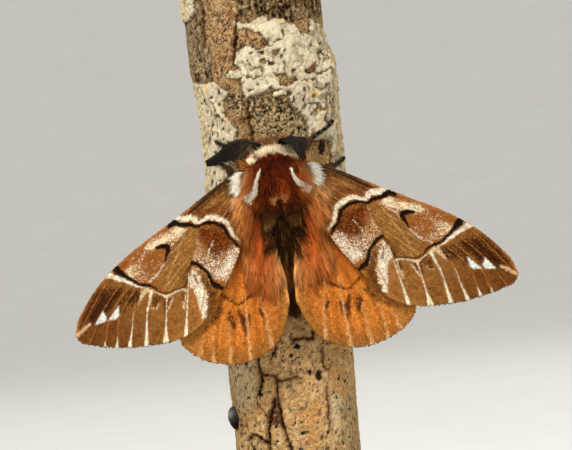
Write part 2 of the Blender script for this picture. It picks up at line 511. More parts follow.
def wing_underside(colours, x, z):
    """The underside wears the same markings, fainter and evener."""
    even = paint(172, 118, 70)
    return colours * 0.45 + even * 0.5 * (1 + 0.1 * noise(flat_points(x, z), 0.5, 31))[..., None]


# Meshes

def new_object(name, data):
    obj = bpy.data.objects.new(name, data)
    bpy.context.scene.collection.objects.link(obj)
    return obj


def mark_points(mesh, name, kind, values):
    """Gives each point of a mesh its value under this name."""
    field = {"FLOAT": "value", "FLOAT_VECTOR": "vector", "FLOAT_COLOR": "color"}[kind]
    layer = mesh.attributes.new(name, kind, "POINT")
    layer.data.foreach_set(field, np.asarray(values, np.float32).ravel())


def make_mesh(name, points, faces, finish, colours=None, patches=None, round_faces=True):
    """A mesh object from arrays: points in millimetres, faces in blocks of like corner counts, a colour for
    each point, and a place on the OFBake map for each corner."""
    mesh = bpy.data.meshes.new(name)
    blocks = [np.asarray(block, np.int64) for block in faces]
    corners = np.concatenate([block.ravel() for block in blocks])
    sizes = np.concatenate([np.full(len(block), block.shape[1]) for block in blocks])
    mesh.vertices.add(len(points))
    mesh.vertices.foreach_set("co", (np.asarray(points) * MM).astype(np.float32).ravel())
    mesh.loops.add(len(corners))
    mesh.loops.foreach_set("vertex_index", corners.astype(np.int32))
    mesh.polygons.add(len(sizes))
    mesh.polygons.foreach_set("loop_start", np.concatenate([[0], np.cumsum(sizes)[:-1]]).astype(np.int32))
    mesh.update(calc_edges=True)
    if colours is not None:
        rgba = np.ones((len(points), 4))
        rgba[:, :np.shape(colours)[1]] = np.clip(colours, 0, 1)
        mark_points(mesh, "tint", "FLOAT_COLOR", rgba)
    if patches is not None:
        layer = mesh.uv_layers.new(name="OFBake")
        layer.data.foreach_set("uv", np.asarray(patches, np.float32).ravel())
    mesh.materials.append(finish)
    if round_faces:
        mesh.shade_smooth()
    return new_object(name, mesh)


def settle(obj, slot, *nodes):
    """Rides on the model's one body, takes its record slot, and stands for the nodes it replaces."""
    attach(obj, "root")
    if nodes:
        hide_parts(*nodes)
    return obj


def grid_faces(rows, columns, wrap=False):
    """Quads between rows of points, the last column joined to the first where wrap is set."""
    row, column = np.meshgrid(np.arange(rows - 1), np.arange(columns if wrap else columns - 1), indexing="ij")
    onward = (column + 1) % columns
    a, b = row * columns + column, row * columns + onward
    return stacked(a, b, b + columns, a + columns).reshape(-1, 4)


MOTH_PLACE = Matrix.Translation((MOTH_X, 0, MOTH_Z)) @ Matrix.Rotation(math.radians(MOTH_LEAN), 4, "Y")


def moved(points, matrix):
    matrix = np.array(matrix)
    return np.asarray(points) @ matrix[:3, :3].T + matrix[:3, 3]


def to_world(points):
    """Points of the moth's frame in the world, in millimetres."""
    return moved(points, MOTH_PLACE)


def to_moth(points):
    return moved(points, MOTH_PLACE.inverted())


# A strand has two or three rings of three points and a tip. Its faces are wound to look outwards, and each
# face's corners have their places in the strand's patch of the OFBake map.
STEPS = {2: (0.0, 0.5, 1.0), 3: (0.0, 0.36, 0.72, 1.0)}
TAPERS = {2: (1.0, 0.8), 3: (1.0, 0.9, 0.6)}


def strand_template(rings):
    quads, quad_places, tris, tri_places = [], [], [], []
    steps = STEPS[rings]
    for ring, side in product(range(rings - 1), range(3)):
        after = (side + 1) % 3
        quads.append((ring * 3 + side, ring * 3 + after, ring * 3 + 3 + after, ring * 3 + 3 + side))
        left, right = side / 3, (side + 1) / 3
        low, high = steps[ring], steps[ring + 1]
        quad_places.append(((left, low), (right, low), (right, high), (left, high)))
    last = rings * 3 - 3
    for side in range(3):
        tris.append((last + side, last + (side + 1) % 3, last + 3))
        tri_places.append(((side / 3, steps[-2]), ((side + 1) / 3, steps[-2]), ((side + 0.5) / 3, 1.0)))
    tris.append((2, 1, 0))
    tri_places.append(((0.1, 0.0), (0.2, 0.0), (0.15, 0.05)))
    return np.array(quads), np.array(quad_places), np.array(tris), np.array(tri_places)


TILE_FACES = np.array([(0, 1, 3), (1, 2, 3), (2, 0, 3), (0, 2, 1)])
TILE_PLACES = np.array([((0.5, 0), (1, 1), (0.5, 0.6)), ((1, 1), (0, 1), (0.5, 0.6)),
                        ((0, 1), (0.5, 0), (0.5, 0.6)), ((0.5, 0), (0, 1), (1, 1))], float)
PATCH = 0.003


def repeat_patches(places, roots):
    """The template's patch of the OFBake map set at each root's own place."""
    spread = (places.reshape(1, -1, 2) - 0.5) * PATCH
    return (np.clip(roots, 0.002, 0.998)[:, None, :] + spread).reshape(-1, 2)


class Coat:
    """Hairs gathered for one piece, each a tapering strand of three sides with this many rings."""

    def __init__(self, rings=3):
        self.rings = rings
        self.held = [[] for _ in range(5)]

    def add(self, *parts):
        """paths gives the points of each hair, ups the way off the surface, widths its half width, shades
        the colours along it, and roots its place on the skin's unwrap."""
        for held, given in zip(self.held, parts):
            held.append(given)

    def paths(self, roots, tips, bulge, curl):
        """Hairs from their roots to their tips, bowed by bulge and bent sideways by curl."""
        return np.stack([roots + (tips - roots) * t + bulge * (2 * t * (1 - t)) + curl * math.sin(2.6 * t)
                         for t in STEPS[self.rings]], axis=1)

    def piece(self, name, finish, part=slice(None)):
        paths, ups, widths, shades, roots = (np.concatenate(held)[part] for held in self.held)
        rings, count = self.rings, len(paths)
        lies = unit(paths[:, 1:] - paths[:, :-1])
        across = unit(np.cross(lies, ups[:, None]))
        over = np.cross(across, lies)
        points = np.zeros((count, rings * 3 + 1, 3))
        for ring, side in product(range(rings), range(3)):
            turn = math.pi / 2 + side * 2 * math.pi / 3
            reach = widths[:, None] * TAPERS[rings][ring]
            way = across[:, ring] * math.cos(turn) + over[:, ring] * math.sin(turn) * 0.8
            points[:, ring * 3 + side] = paths[:, ring] + way * reach
        points[:, -1] = paths[:, -1]
        colours = np.concatenate([np.repeat(shades[:, :rings], 3, axis=1), shades[:, rings:]], axis=1)
        quads, quad_places, tris, tri_places = strand_template(rings)
        start = (np.arange(count) * (rings * 3 + 1))[:, None, None]
        faces = [(quads[None] + start).reshape(-1, 4), (tris[None] + start).reshape(-1, 3)]
        patches = np.concatenate([repeat_patches(quad_places, roots), repeat_patches(tri_places, roots)])
        return make_mesh(name, to_world(points.reshape(-1, 3)), faces, finish,
                         colours.reshape(-1, 3), patches)

    def pieces(self, name, finish, slot, most=180000):
        """The coat in as many pieces as keep each within its share of faces."""
        share = most // (6 * self.rings - 2)
        total = sum(len(paths) for paths in self.held[0])
        for number, start in enumerate(range(0, total, share)):
            settle(self.piece(f"{name}_{number + 1}", finish, slice(start, start + share)), slot)


def tiles(name, feet, lies, ups, lengths, widths, shades, roots, finish, lift=0.05):
    """Closed scales, each a low pyramid whose broad edge is its tip."""
    across = unit(np.cross(lies, ups))
    count = len(feet)
    points = np.zeros((count, 4, 3))
    length, width = lengths[:, None], widths[:, None]
    points[:, 0] = feet - lies * length * 0.35 - ups * 0.03
    points[:, 1] = feet + lies * length * 0.65 + across * width * 0.5 + ups * lift * 0.4
    points[:, 2] = feet + lies * length * 0.65 - across * width * 0.5 + ups * lift * 0.4
    points[:, 3] = feet + lies * length * 0.35 + ups * lift
    faces = TILE_FACES[None] + (np.arange(count) * 4)[:, None, None]
    patches = repeat_patches(TILE_PLACES, roots)
    return make_mesh(name, to_world(points.reshape(-1, 3)), [faces.reshape(-1, 3)], finish,
                     np.repeat(shades, 4, axis=0), patches, round_faces=False)


# Finishes

class Wire:
    """A node's output, whose sums and products add Math nodes."""

    def __init__(self, bench, socket):
        self.bench, self.socket = bench, socket

    def beside(self, name):
        """Another output of the same node."""
        return Wire(self.bench, self.socket.node.outputs[name])

    def maths(self, operation, *values):
        return self.bench.add("ShaderNodeMath", {"operation": operation}, dict(enumerate(values)))

    def __add__(self, other):
        return self.maths("ADD", self, other)

    def __sub__(self, other):
        return self.maths("SUBTRACT", self, other)

    def __rsub__(self, other):
        return self.maths("SUBTRACT", other, self)

    def __mul__(self, other):
        return self.maths("MULTIPLY", self, other)


class Bench:
    """A tree of nodes."""

    def add(self, kind, settings=None, sockets=None, output=0):
        """A node of this kind: settings first, then its sockets' values and links."""
        node = self.tree.nodes.new(kind)
        for key, value in (settings or {}).items():
            setattr(node, key, value)
        for key, value in (sockets or {}).items():
            if isinstance(value, Wire):
                self.tree.links.new(value.socket, node.inputs[key])
            else:
                node.inputs[key].default_value = value
        return Wire(self, node.outputs[output])


class Finish(Bench):
    """One material: a shader with constants on its own sockets, and the nodes that vary over the surface."""

    def __init__(self, name, **constants):
        self.material = bpy.data.materials.new(name)
        self.material.use_nodes = True
        self.tree = self.material.node_tree
        self.shader = self.tree.nodes["Principled BSDF"]
        for socket, value in constants.items():
            self.shader.inputs[socket.replace("_", " ")].default_value = value

    def feed(self, **wires):
        for socket, wire in wires.items():
            self.tree.links.new(wire.socket, self.shader.inputs[socket.replace("_", " ")])
        return self.material

    def tint(self, output=0):
        return self.add("ShaderNodeAttribute", {"attribute_name": "tint"}, output=output)

    def place(self, stretch=(1, 1, 1)):
        spot = self.add("ShaderNodeTexCoord", output=3)
        return self.add("ShaderNodeMapping", None, {0: spot, "Scale": tuple(s / MM for s in stretch)})

    def noise(self, place, scale, detail=3.0, roughness=0.6):
        """Noise from 0 to 1 with this many lumps to a millimetre."""
        return self.add("ShaderNodeTexNoise", None,
                        {"Vector": place, "Scale": scale, "Detail": detail, "Roughness": roughness})

    def cells(self, place, scale):
        return self.add("ShaderNodeTexVoronoi", None, {"Vector": place, "Scale": scale})

    def mix(self, share, first, second, blend="MIX"):
        return self.add("ShaderNodeMix", {"data_type": "RGBA", "blend_type": blend},
                        {0: share, 6: first, 7: second}, output=2)

    def ramp(self, value, *stops):
        """A colour read between two stops, each a value and its colour."""
        wire = self.add("ShaderNodeValToRGB", None, {0: value})
        for stop, (place, colour) in zip(wire.socket.node.color_ramp.elements, stops):
            stop.position, stop.color = place, (*colour, 1)
        return wire

    def band(self, value, low, high, to_low=0.0, to_high=1.0):
        return self.add("ShaderNodeMapRange", None, {0: value, 1: low, 2: high, 3: to_low, 4: to_high})

    def bump(self, height, depth):
        """Relief this many millimetres deep."""
        return self.add("ShaderNodeBump", None, {"Height": height, "Distance": depth * MM})

    def varied(self, low, high, amount):
        """The piece's own colours, darkened and lightened by a number from 0 to 1."""
        return self.dimmed(self.tint(), self.band(amount, 0.25, 0.75, low, high))

    def dimmed(self, colour, shade):
        grey = self.add("ShaderNodeCombineColor", None, {0: shade, 1: shade, 2: shade})
        return self.mix(1.0, colour, grey, "MULTIPLY")


def grained(name, specular, tones, rough, scale, detail=3.0, stretch=(1, 1, 1), depth=0.0, cells=False):
    """A finish whose colours and roughness vary with one grain, of this many lumps to a millimetre: tones
    from the darkest to the lightest, and rough as the band that the grain is read over. depth makes the
    grain its relief too."""
    finish = Finish(name, Specular_IOR_Level=specular)
    place = finish.place(stretch)
    grain = finish.cells(place, scale) if cells else finish.noise(place, scale, detail)
    finish.feed(Base_Color=finish.varied(*tones, grain), Roughness=finish.band(grain, *rough))
    if depth:
        finish.feed(Normal=finish.bump(grain, depth))
    return finish.material


def eye_finish():
    """Polished black, its facets a fine net."""
    finish = Finish("eye_polish", Coat_Roughness=0.08)
    net = finish.cells(finish.place(), 14.0)
    dull = finish.noise(finish.place(), 2.0)
    colour = finish.ramp(net, (0.0, paint(34, 24, 18)), (0.6, paint(10, 8, 7)))
    return finish.feed(Base_Color=colour, Roughness=finish.band(dull, 0, 1, 0.1, 0.25),
                       Normal=finish.bump(net, -0.02))


def bark_finish():
    """Bark and lichen: the sheet's own colours, broken up by fine grain, flecks and pits."""
    finish = Finish("bark", Specular_IOR_Level=0.05)
    spot = finish.place()
    grain = finish.noise(finish.place((1, 1, 0.45)), 2.6, 6.0, 0.7)
    fine = finish.noise(spot, 6.5, 4.0, 0.7)
    colour = finish.mix(0.5, finish.varied(0.5, 1.45, grain), finish.varied(0.45, 1.5, fine))
    speck = finish.noise(spot, 4.2, 2.0)
    rough = finish.tint(output=3)
    colour = finish.dimmed(colour, 1 - rough * finish.band(speck, 0.54, 0.62, 0.0, 0.8))
    height = grain * 0.5 + fine * 0.3 - rough * finish.band(speck, 0.54, 0.62, 0.0, 0.4)
    return finish.feed(Base_Color=colour, Roughness=finish.band(fine, 0.2, 0.8, 0.8, 0.97),
                       Normal=finish.bump(height, 0.35))


def cut_wood_finish():
    """A sawn end: pale wood with its yearly rings."""
    finish = Finish("cut_wood", Specular_IOR_Level=0.1)
    spot = finish.place()
    rings = finish.add("ShaderNodeTexWave", {"wave_type": "RINGS", "rings_direction": "Z"},
                       {"Vector": spot, "Scale": 0.4, "Distortion": 2.4, "Detail": 3.0}, output=1)
    stain = finish.noise(spot, 0.5)
    colour = finish.ramp(rings * 0.25 + stain * 0.75, (0.3, paint(142, 106, 66)), (0.7, paint(206, 172, 120)))
    return finish.feed(Base_Color=colour, Roughness=finish.band(stain, 0, 1, 0.75, 0.95),
                       Normal=finish.bump(rings, 0.05))


def wood_finish():
    """Dark stained wood with a satin varnish, its grain running across the base."""
    finish = Finish("stand_wood", Specular_IOR_Level=0.5)
    warp = finish.noise(finish.place((0.04, 0.5, 0.5)), 1.0, 4.0)
    line = finish.noise(finish.place((0.12, 2.2, 2.2)), 1.0, 5.0)
    colour = finish.ramp(warp * 0.5 + line * 0.5, (0.36, paint(38, 26, 20)), (0.62, paint(84, 58, 40)))
    return finish.feed(Base_Color=colour, Roughness=finish.band(line, 0.3, 0.7, 0.42, 0.6),
                       Coat_Weight=finish.band(warp, 0.3, 0.7, 0.04, 0.1), Normal=finish.bump(line, 0.03))


def brass_finish():
    finish = Finish("stand_brass", Metallic=1.0)
    brush = finish.noise(finish.place((1, 1, 14)), 0.7, 4.0)
    tarnish = finish.noise(finish.place(), 0.5, 3.0)
    colour = finish.ramp(tarnish, (0.3, paint(176, 140, 78)), (0.7, paint(214, 178, 108)))
    return finish.feed(Base_Color=colour, Roughness=finish.band(brush, 0.3, 0.7, 0.25, 0.42),
                       Normal=finish.bump(brush, 0.02))


# Wings

MEMBRANE_SHADE = 0.85


class Wing:
    """One wing's outline, veins and surface. u runs from the root to the outer margin, v from the leading
    edge to the trailing one."""

    def __init__(self, side, lines, veins, drop):
        self.side, self.drop, self.stretch = side, drop, STRETCH[side]
        self.costa, self.termen, self.dorsum = (along(line, 201) for line in lines)
        self.veins = [along(vein, 30) if np.size(vein) > 1 else self.vein_line(vein) for vein in veins]

    def place(self, u, v):
        """Across and along places, side positive."""
        costa, dorsum = read_line(self.costa, u), read_line(self.dorsum, u)
        termen = read_line(self.termen, v)
        u, v = np.asarray(u)[..., None], np.asarray(v)[..., None]
        root = self.costa[0] + (self.dorsum[0] - self.costa[0]) * v
        ruled = (1 - v) * costa + v * dorsum + (1 - u) * root + u * termen
        corners = (1 - u) * ((1 - v) * self.costa[0] + v * self.dorsum[0])
        corners = corners + u * ((1 - v) * self.costa[-1] + v * self.dorsum[-1])
        return ruled - corners

    def vein_line(self, v):
        """A vein runs down a stem of the middle cell and leaves it for its own place on the margin."""
        stem = 0.28 if v < 0.42 else 0.5
        leaves = 0.42 if 0.3 < v < 0.6 else 0.3
        if v > 0.78:
            stem, leaves = 0.85, 0.0
        u = np.linspace(0.02, 1, 24)
        return self.place(u, stem + (v - stem) * smooth(leaves - 0.12, 0.8, u))

    def relief(self, x, z):
        """Raised veins, with the membrane sagging a little between them."""
        gap = np.full(x.shape, 1e9)
        for vein in self.veins:
            away, _ = nearest(x, z, vein)
            gap = np.minimum(gap, away)
        return 0.09 * np.exp(-((gap / 0.13) ** 2)) - 0.07 * smooth(0.2, 1.2, gap)

    def surface(self, u, v, top=True):
        """Points in the moth's frame on the upper or the under side, the way off it, and the flat places."""
        flat = self.place(u, v)
        z = flat[..., 1]
        out = (flat[..., 0] - HINGE_X) * self.stretch
        x = HINGE_X + out
        middle = FORE_Y + WING_SLOPE * out + WING_CURL * np.maximum(out, 0) ** 2 + WING_PITCH * z + self.drop
        middle = middle + 0.05 * noise(flat_points(x, z), 3.5, 41 + self.side)
        y = middle - self.relief(flat[..., 0], z) + (-0.5 if top else 0.5) * MEMBRANE
        slope = WING_SLOPE + 2 * WING_CURL * np.maximum(out, 0)
        up = unit(stacked(self.side * slope, -np.ones_like(x), np.full_like(x, WING_PITCH)))
        return stacked(self.side * x, y, z), up if top else -up, flat

    def lies(self, u, v):
        """The way from the root to the margin at each place, along the surface."""
        after = self.surface(np.minimum(u + 0.01, 1.0), v)[0]
        before = self.surface(np.maximum(u - 0.01, 0.0), v)[0]
        return unit(after - before)


def wing_skin(name, wing, painter, finish, rows, columns):
    """The membrane: both faces, joined round the rim."""
    u, v = np.meshgrid(np.linspace(0, 1, rows), np.linspace(0, 1, columns), indexing="ij")
    u, v = u.ravel(), v.ravel()
    top, _, flat = wing.surface(u, v, True)
    low, _, _ = wing.surface(u, v, False)
    colours = painter(flat[:, 0], flat[:, 1], u, v, wing.veins)
    faces = grid_faces(rows, columns)
    count = rows * columns
    index = np.arange(count).reshape(rows, columns)
    rim = np.concatenate([index[:, 0], index[-1, 1:], index[-2::-1, -1], index[0, -2:0:-1]])
    onward = np.roll(rim, -1)
    walls = stacked(rim, onward, onward + count, rim + count)
    front = faces[:, ::-1] if wing.side > 0 else faces
    back = (faces if wing.side > 0 else faces[:, ::-1]) + count
    walls = walls if wing.side > 0 else walls[:, ::-1]
    under = wing_underside(colours, flat[:, 0], flat[:, 1])
    points = to_world(np.concatenate([top, low]))
    return make_mesh(name, points, [front, back, walls], finish,
                     np.concatenate([colours, under]) * MEMBRANE_SHADE)


def scale_rows(wing, row_gap, tile_gap, rng):
    """The shares u and v of scales set in rows that run across the wing."""
    rows = int(distances(wing.costa)[-1] / row_gap)
    us, vs = [], []
    fine = np.linspace(0, 1, 240)
    for row in range(rows):
        u = (row + 0.5) / rows
        run = distances(wing.place(np.full(fine.shape, u), fine))
        count = max(3, int(run[-1] / tile_gap))
        at = (np.arange(count) + 0.5 * (row % 2) + rng.uniform(-0.3, 0.3, count)) / count
        vs.append(np.interp(np.clip(at, 0.002, 0.998) * run[-1], run, fine))
        us.append(np.clip(u + rng.uniform(-0.35, 0.35, count) / rows, 0.001, 0.999))
    return np.concatenate(us), np.concatenate(vs)


def wing_scales(name, wing, painter, finish, row_gap, tile_gap, seed, top=True):
    rng = np.random.default_rng(seed)
    u, v = scale_rows(wing, row_gap, tile_gap, rng)
    feet, ups, flat = wing.surface(u, v, top)
    lies = wing.lies(u, v)
    count = len(u)
    sway = rng.uniform(-0.25, 0.25, count)[:, None]
    lies = unit(lies + np.cross(lies, ups) * sway)
    grain = rng.random(count)
    shades = painter(flat[:, 0], flat[:, 1], u, v, wing.veins, grain)
    if not top:
        shades = wing_underside(shades, flat[:, 0], flat[:, 1])
    tone = np.clip(1 + 0.2 * rng.normal(0, 1, count), 0.5, 1.6)
    shades = shades * tone[:, None] ** np.array([0.85, 1.0, 1.2])
    lengths = row_gap * rng.uniform(1.5, 2.1, count)
    widths = tile_gap * rng.uniform(1.1, 1.5, count)
    return tiles(name, feet, lies, ups, lengths, widths, shades, stacked(u, v), finish,
                 0.06 if top else 0.05)


def fringe(name, wing, painter, edge, count, length, seed, finish):
    """Long narrow scales along an edge of the wing: the outer margin or the trailing edge."""
    rng = np.random.default_rng(seed)
    share = rng.random(count)
    u, v = (np.full(count, 0.985), share) if edge == "margin" else (0.05 + 0.9 * share, np.full(count, 0.985))
    feet, ups, flat = wing.surface(u, v, True)
    out = wing.lies(u, v)
    if edge == "dorsum":
        inner = wing.surface(u, v - 0.03, True)[0]
        out = unit(unit(feet - inner) + out * 0.9)
    out = unit(out + np.cross(out, ups) * rng.uniform(-0.2, 0.2, count)[:, None])
    lengths = length * rng.uniform(0.6, 1.1, count)
    feet = feet - ups * (0.12 * rng.random(count))[:, None] - out * (0.65 * lengths - 0.12)[:, None]
    shades = painter(flat[:, 0], flat[:, 1], u, v, wing.veins, rng.random(count))
    shades = shades * rng.uniform(0.75, 1.15, count)[:, None]
    return tiles(name, feet, out, ups, lengths, rng.uniform(0.07, 0.12, count),
                 shades, stacked(u, v), finish, 0.05)


# The body and its coat

# Where the neck is along the body, how sharply the body's forms join, and how dark the skin is.
NECK_Z = 2.6
JOIN_POWER = 5
SKIN_SHADE = 0.4


def abdomen_at(z):
    table = np.array(ABDOMEN_SECTIONS)[::-1]
    return [np.interp(z, table[:, 0], table[:, column]) for column in (1, 2, 3)]


def skin_section(z):
    """Height of the middle, half width and half depth of the body's skin: head, thorax and abdomen in one."""
    z = np.asarray(z, float)
    forms = []
    for centre, core in ((HEAD_CENTRE, HEAD_CORE), (THORAX_CENTRE, THORAX_CORE)):
        swell = np.sqrt(np.clip(1 - ((z - centre[2]) / core[2]) ** 2, 0, 1))
        forms.append((np.full(z.shape, centre[1]), core[0] * swell, core[1] * swell))
    middle, width, depth = abdomen_at(z)
    fade = np.sqrt(np.clip((z - SKIN_END) / 1.2, 0, 1)) * np.clip((-1.5 - z) / 2, 0, 1)
    forms.append((middle, width * fade, depth * fade))
    middles, widths, depths = (np.array(part) for part in zip(*forms))
    weights = widths ** JOIN_POWER + 1e-9
    return ((weights * middles).sum(axis=0) / weights.sum(axis=0),
            (widths ** JOIN_POWER).sum(axis=0) ** (1 / JOIN_POWER),
            (depths ** JOIN_POWER).sum(axis=0) ** (1 / JOIN_POWER))


def skin_point(turn, z, lift=0.0):
    """A point of the skin: turn in degrees round from the back towards +X."""
    middle, width, depth = skin_section(z)
    turn = np.radians(turn)
    return stacked((width + lift) * np.sin(turn), middle - (depth + lift) * np.cos(turn),
                     z * np.ones_like(turn))


def skin_unwrap(turn, z):
    return stacked((np.asarray(turn) / 360 + 0.5) % 1.0, (z - SKIN_END) / (SKIN_TOP - SKIN_END))


CREAM_LINES = {-1: ((1.85, 1.15), (2.35, 0.2), (2.65, -0.6), (2.95, -1.5), (4.0, -2.3)),
               1: ((2.0, 0.8), (2.44, -0.5), (3.12, -1.3), (3.85, -2.1))}
CENTRE_SPOTS = ((-0.56, -2.8), (0.63, -2.59))


def body_colours(points, grain=None):
    """The coat's colours over the body, read at places of the moth's frame."""
    x, y, z = points[..., 0], points[..., 1], points[..., 2]
    wide = np.abs(x)
    marks = Markings(x, z, (118, 44, 12), grain, wander=0.25)
    tufts = layered(points, (0.3, 0.3, 0.5), 51)
    marks.lay(smooth(0.0, 0.5, tufts) * 0.85, (172, 78, 28), 0.5)
    marks.lay(smooth(0.05, 0.5, -tufts) * 0.9, (56, 16, 4), 0.5)
    marks.lay(smooth(1.9, 3.0, wide) * smooth(-4.5, -2.0, z) * 0.85, (180, 94, 36), 0.3)
    marks.lay(smooth(3.0, 4.4, wide) * smooth(-4.0, -1.0, z) * 0.9, (214, 146, 82), 0.3)
    marks.lay(smooth(1.6, 0.0, np.hypot(x - 0.8, (z + 1.7) * 0.8)) * 0.75, (190, 88, 28), 0.3)
    rear = smooth(-2.9, -4.4, z)
    marks.lay(rear, (54, 32, 12), 0.3)
    marks.lay(rear * smooth(0.0, 0.6, tufts) * 0.7, (150, 104, 50), 0.4)
    abdomen = smooth(-5.0, -6.6, z)
    marks.lay(abdomen * 0.85, (54, 28, 10), 0.3)
    marks.lay(abdomen * smooth(0.1, 0.5, tufts) * 0.8, (150, 106, 50), 0.6)
    marks.lay(smooth(-12.6, -13.8, z) * 0.6, (96, 58, 24), 0.3)
    head = smooth(3.0, 3.7, z)
    marks.lay(head * smooth(4.3, 3.5, z), (236, 214, 174), 0.3)
    marks.lay(head * smooth(3.7, 4.2, z), (172, 124, 78), 0.3)
    marks.lay(head * smooth(0.1, 0.6, tufts) * 0.7, (120, 74, 38), 0.3)
    under = smooth(-12.6, -11.2, y)
    marks.lay(under * 0.75, (128, 66, 28), 0.3)
    return marks.colour


def body_skin(finish):
    rows, columns = 110, 56
    share = (1 - np.cos(np.linspace(0, math.pi, rows + 2)[1:-1])) / 2
    z = SKIN_TOP + (SKIN_END - SKIN_TOP) * share
    turns = np.arange(columns) * 360 / columns
    grid_z, grid_turn = np.meshgrid(z, turns, indexing="ij")
    points = skin_point(grid_turn.ravel(), grid_z.ravel())
    poles = np.array([[0.0, HEAD_CENTRE[1], SKIN_TOP], [0.0, -11.0, SKIN_END]])
    faces = grid_faces(rows, columns, wrap=True)
    ring = np.arange(columns)
    onward = (ring + 1) % columns
    top, end = rows * columns, rows * columns + 1
    first = stacked(onward, ring, np.full(columns, top))
    last = stacked(ring, onward, np.full(columns, end))
    last[:, :2] += (rows - 1) * columns
    points = np.concatenate([points, poles])
    colours = body_colours(points) * SKIN_SHADE
    return make_mesh("body_skin", to_world(points), [faces, first, last], finish, colours)


def drift(points, size, seed):
    """A smooth wandering direction, so that hairs lean together in tufts."""
    return np.stack([noise(points, size, seed + axis) for axis in range(3)], axis=-1)


def base_coat(coat, rng, count):
    """Hair all over the body: it parts on the thorax, forwards to the head and backwards to the tail."""
    z = rng.uniform(SKIN_END + 0.1, SKIN_TOP - 0.15, count * 3)
    _, width, depth = skin_section(z)
    z = z[rng.random(count * 3) < (width + depth) / 6.6][:count]
    turn = rng.uniform(-180, 180, len(z))
    roots = skin_point(turn, z, -0.05)
    ups = unit(skin_point(turn, z, 1.0) - skin_point(turn, z, 0.0))
    on_head = smooth(NECK_Z, 3.4, z)
    on_tail = smooth(-3.2, -4.6, z)
    forward = smooth(0.7, 2.4, z) * 1.7 - 1.0
    lean = np.where(z > NECK_Z, 0.9, forward)
    lie = stacked(ups[:, 0] * 0.5, 0 * z, lean)
    deep = 1.15 - 0.5 * on_head - 0.3 * on_tail
    run = (1.5 - 0.75 * on_head + 0.6 * on_tail) * rng.uniform(0.7, 1.2, len(z))
    tips = roots + ups * (deep * rng.uniform(0.65, 1.1, len(z)))[:, None] + lie * run[:, None]
    loose = (1 - 0.55 * on_head)[:, None]
    tips += (0.62 * drift(roots, 1.1, 81) + 0.35 * drift(roots, 0.45, 84)) * loose
    tips += rng.normal(0, 0.09, tips.shape)
    tips[:, 1] = np.minimum(tips[:, 1], LOWEST_COAT_Y)
    paths = coat.paths(roots, tips, ups * (0.3 * run)[:, None], rng.normal(0, 0.07, tips.shape) * loose)
    paths[..., 1] = np.minimum(paths[..., 1], LOWEST_COAT_Y + 0.05)
    tone = rng.uniform(0.55, 1.45, len(z)) * (1 + 0.4 * noise(paths[:, -1], 0.3, 87))
    shade = body_colours(paths[:, -2], rng.random(len(z))) * tone[:, None]
    fade = np.linspace(0.4, 1.2, len(STEPS[coat.rings]))
    coat.add(paths, ups, np.where(z > NECK_Z, 0.03, 0.038) * rng.uniform(0.8, 1.1, len(z)),
             shade[:, None, :] * fade[None, :, None], skin_unwrap(turn, z))


def soft_top(*heights):
    """The highest of several surfaces, with the corners between them rounded."""
    stack = np.stack(np.broadcast_arrays(*heights))
    top = stack.max(axis=0)
    return top + np.log(np.exp((stack - top) * 5).sum(axis=0)) / 5


def dome(x, z, centre, radii):
    rest = np.clip(1 - ((x - centre[0]) / radii[0]) ** 2 - ((z - centre[2]) / radii[2]) ** 2, 0, 1)
    return -centre[1] + radii[1] * np.sqrt(rest)


def back_height(x, z, hind=False):
    """How far out of the back the coat's bed is over a place, the wings' roots included."""
    out = np.abs(x) - HINGE_X
    plate = -(FORE_Y + WING_SLOPE * out + WING_CURL * np.maximum(out, 0) ** 2 + WING_PITCH * z) + 0.12
    if hind:
        middle, width, depth = abdomen_at(z)
        rest = np.clip(1 - (x / (width + 0.4)) ** 2, 0, 1)
        return soft_top(plate - WING_DROP, -middle + (depth + 0.2) * np.sqrt(rest))
    return soft_top(plate, dome(x, z, THORAX_CENTRE, np.array(THORAX_COAT) * 0.9),
                    dome(x, z, HEAD_CENTRE, HEAD_COAT))


def add_over_back(coat, side, paths, widths, shades):
    """Adds hairs that lie over the back, with their roots' places on the skin's unwrap."""
    ups = unit(np.tile([side * 0.15, -1.0, 0.0], (len(paths), 1)))
    turn = np.degrees(np.arctan2(paths[:, 0, 0], THORAX_CENTRE[1] - paths[:, 0, 1]))
    coat.add(paths, ups, widths, shades, skin_unwrap(turn, paths[:, 0, 2]))


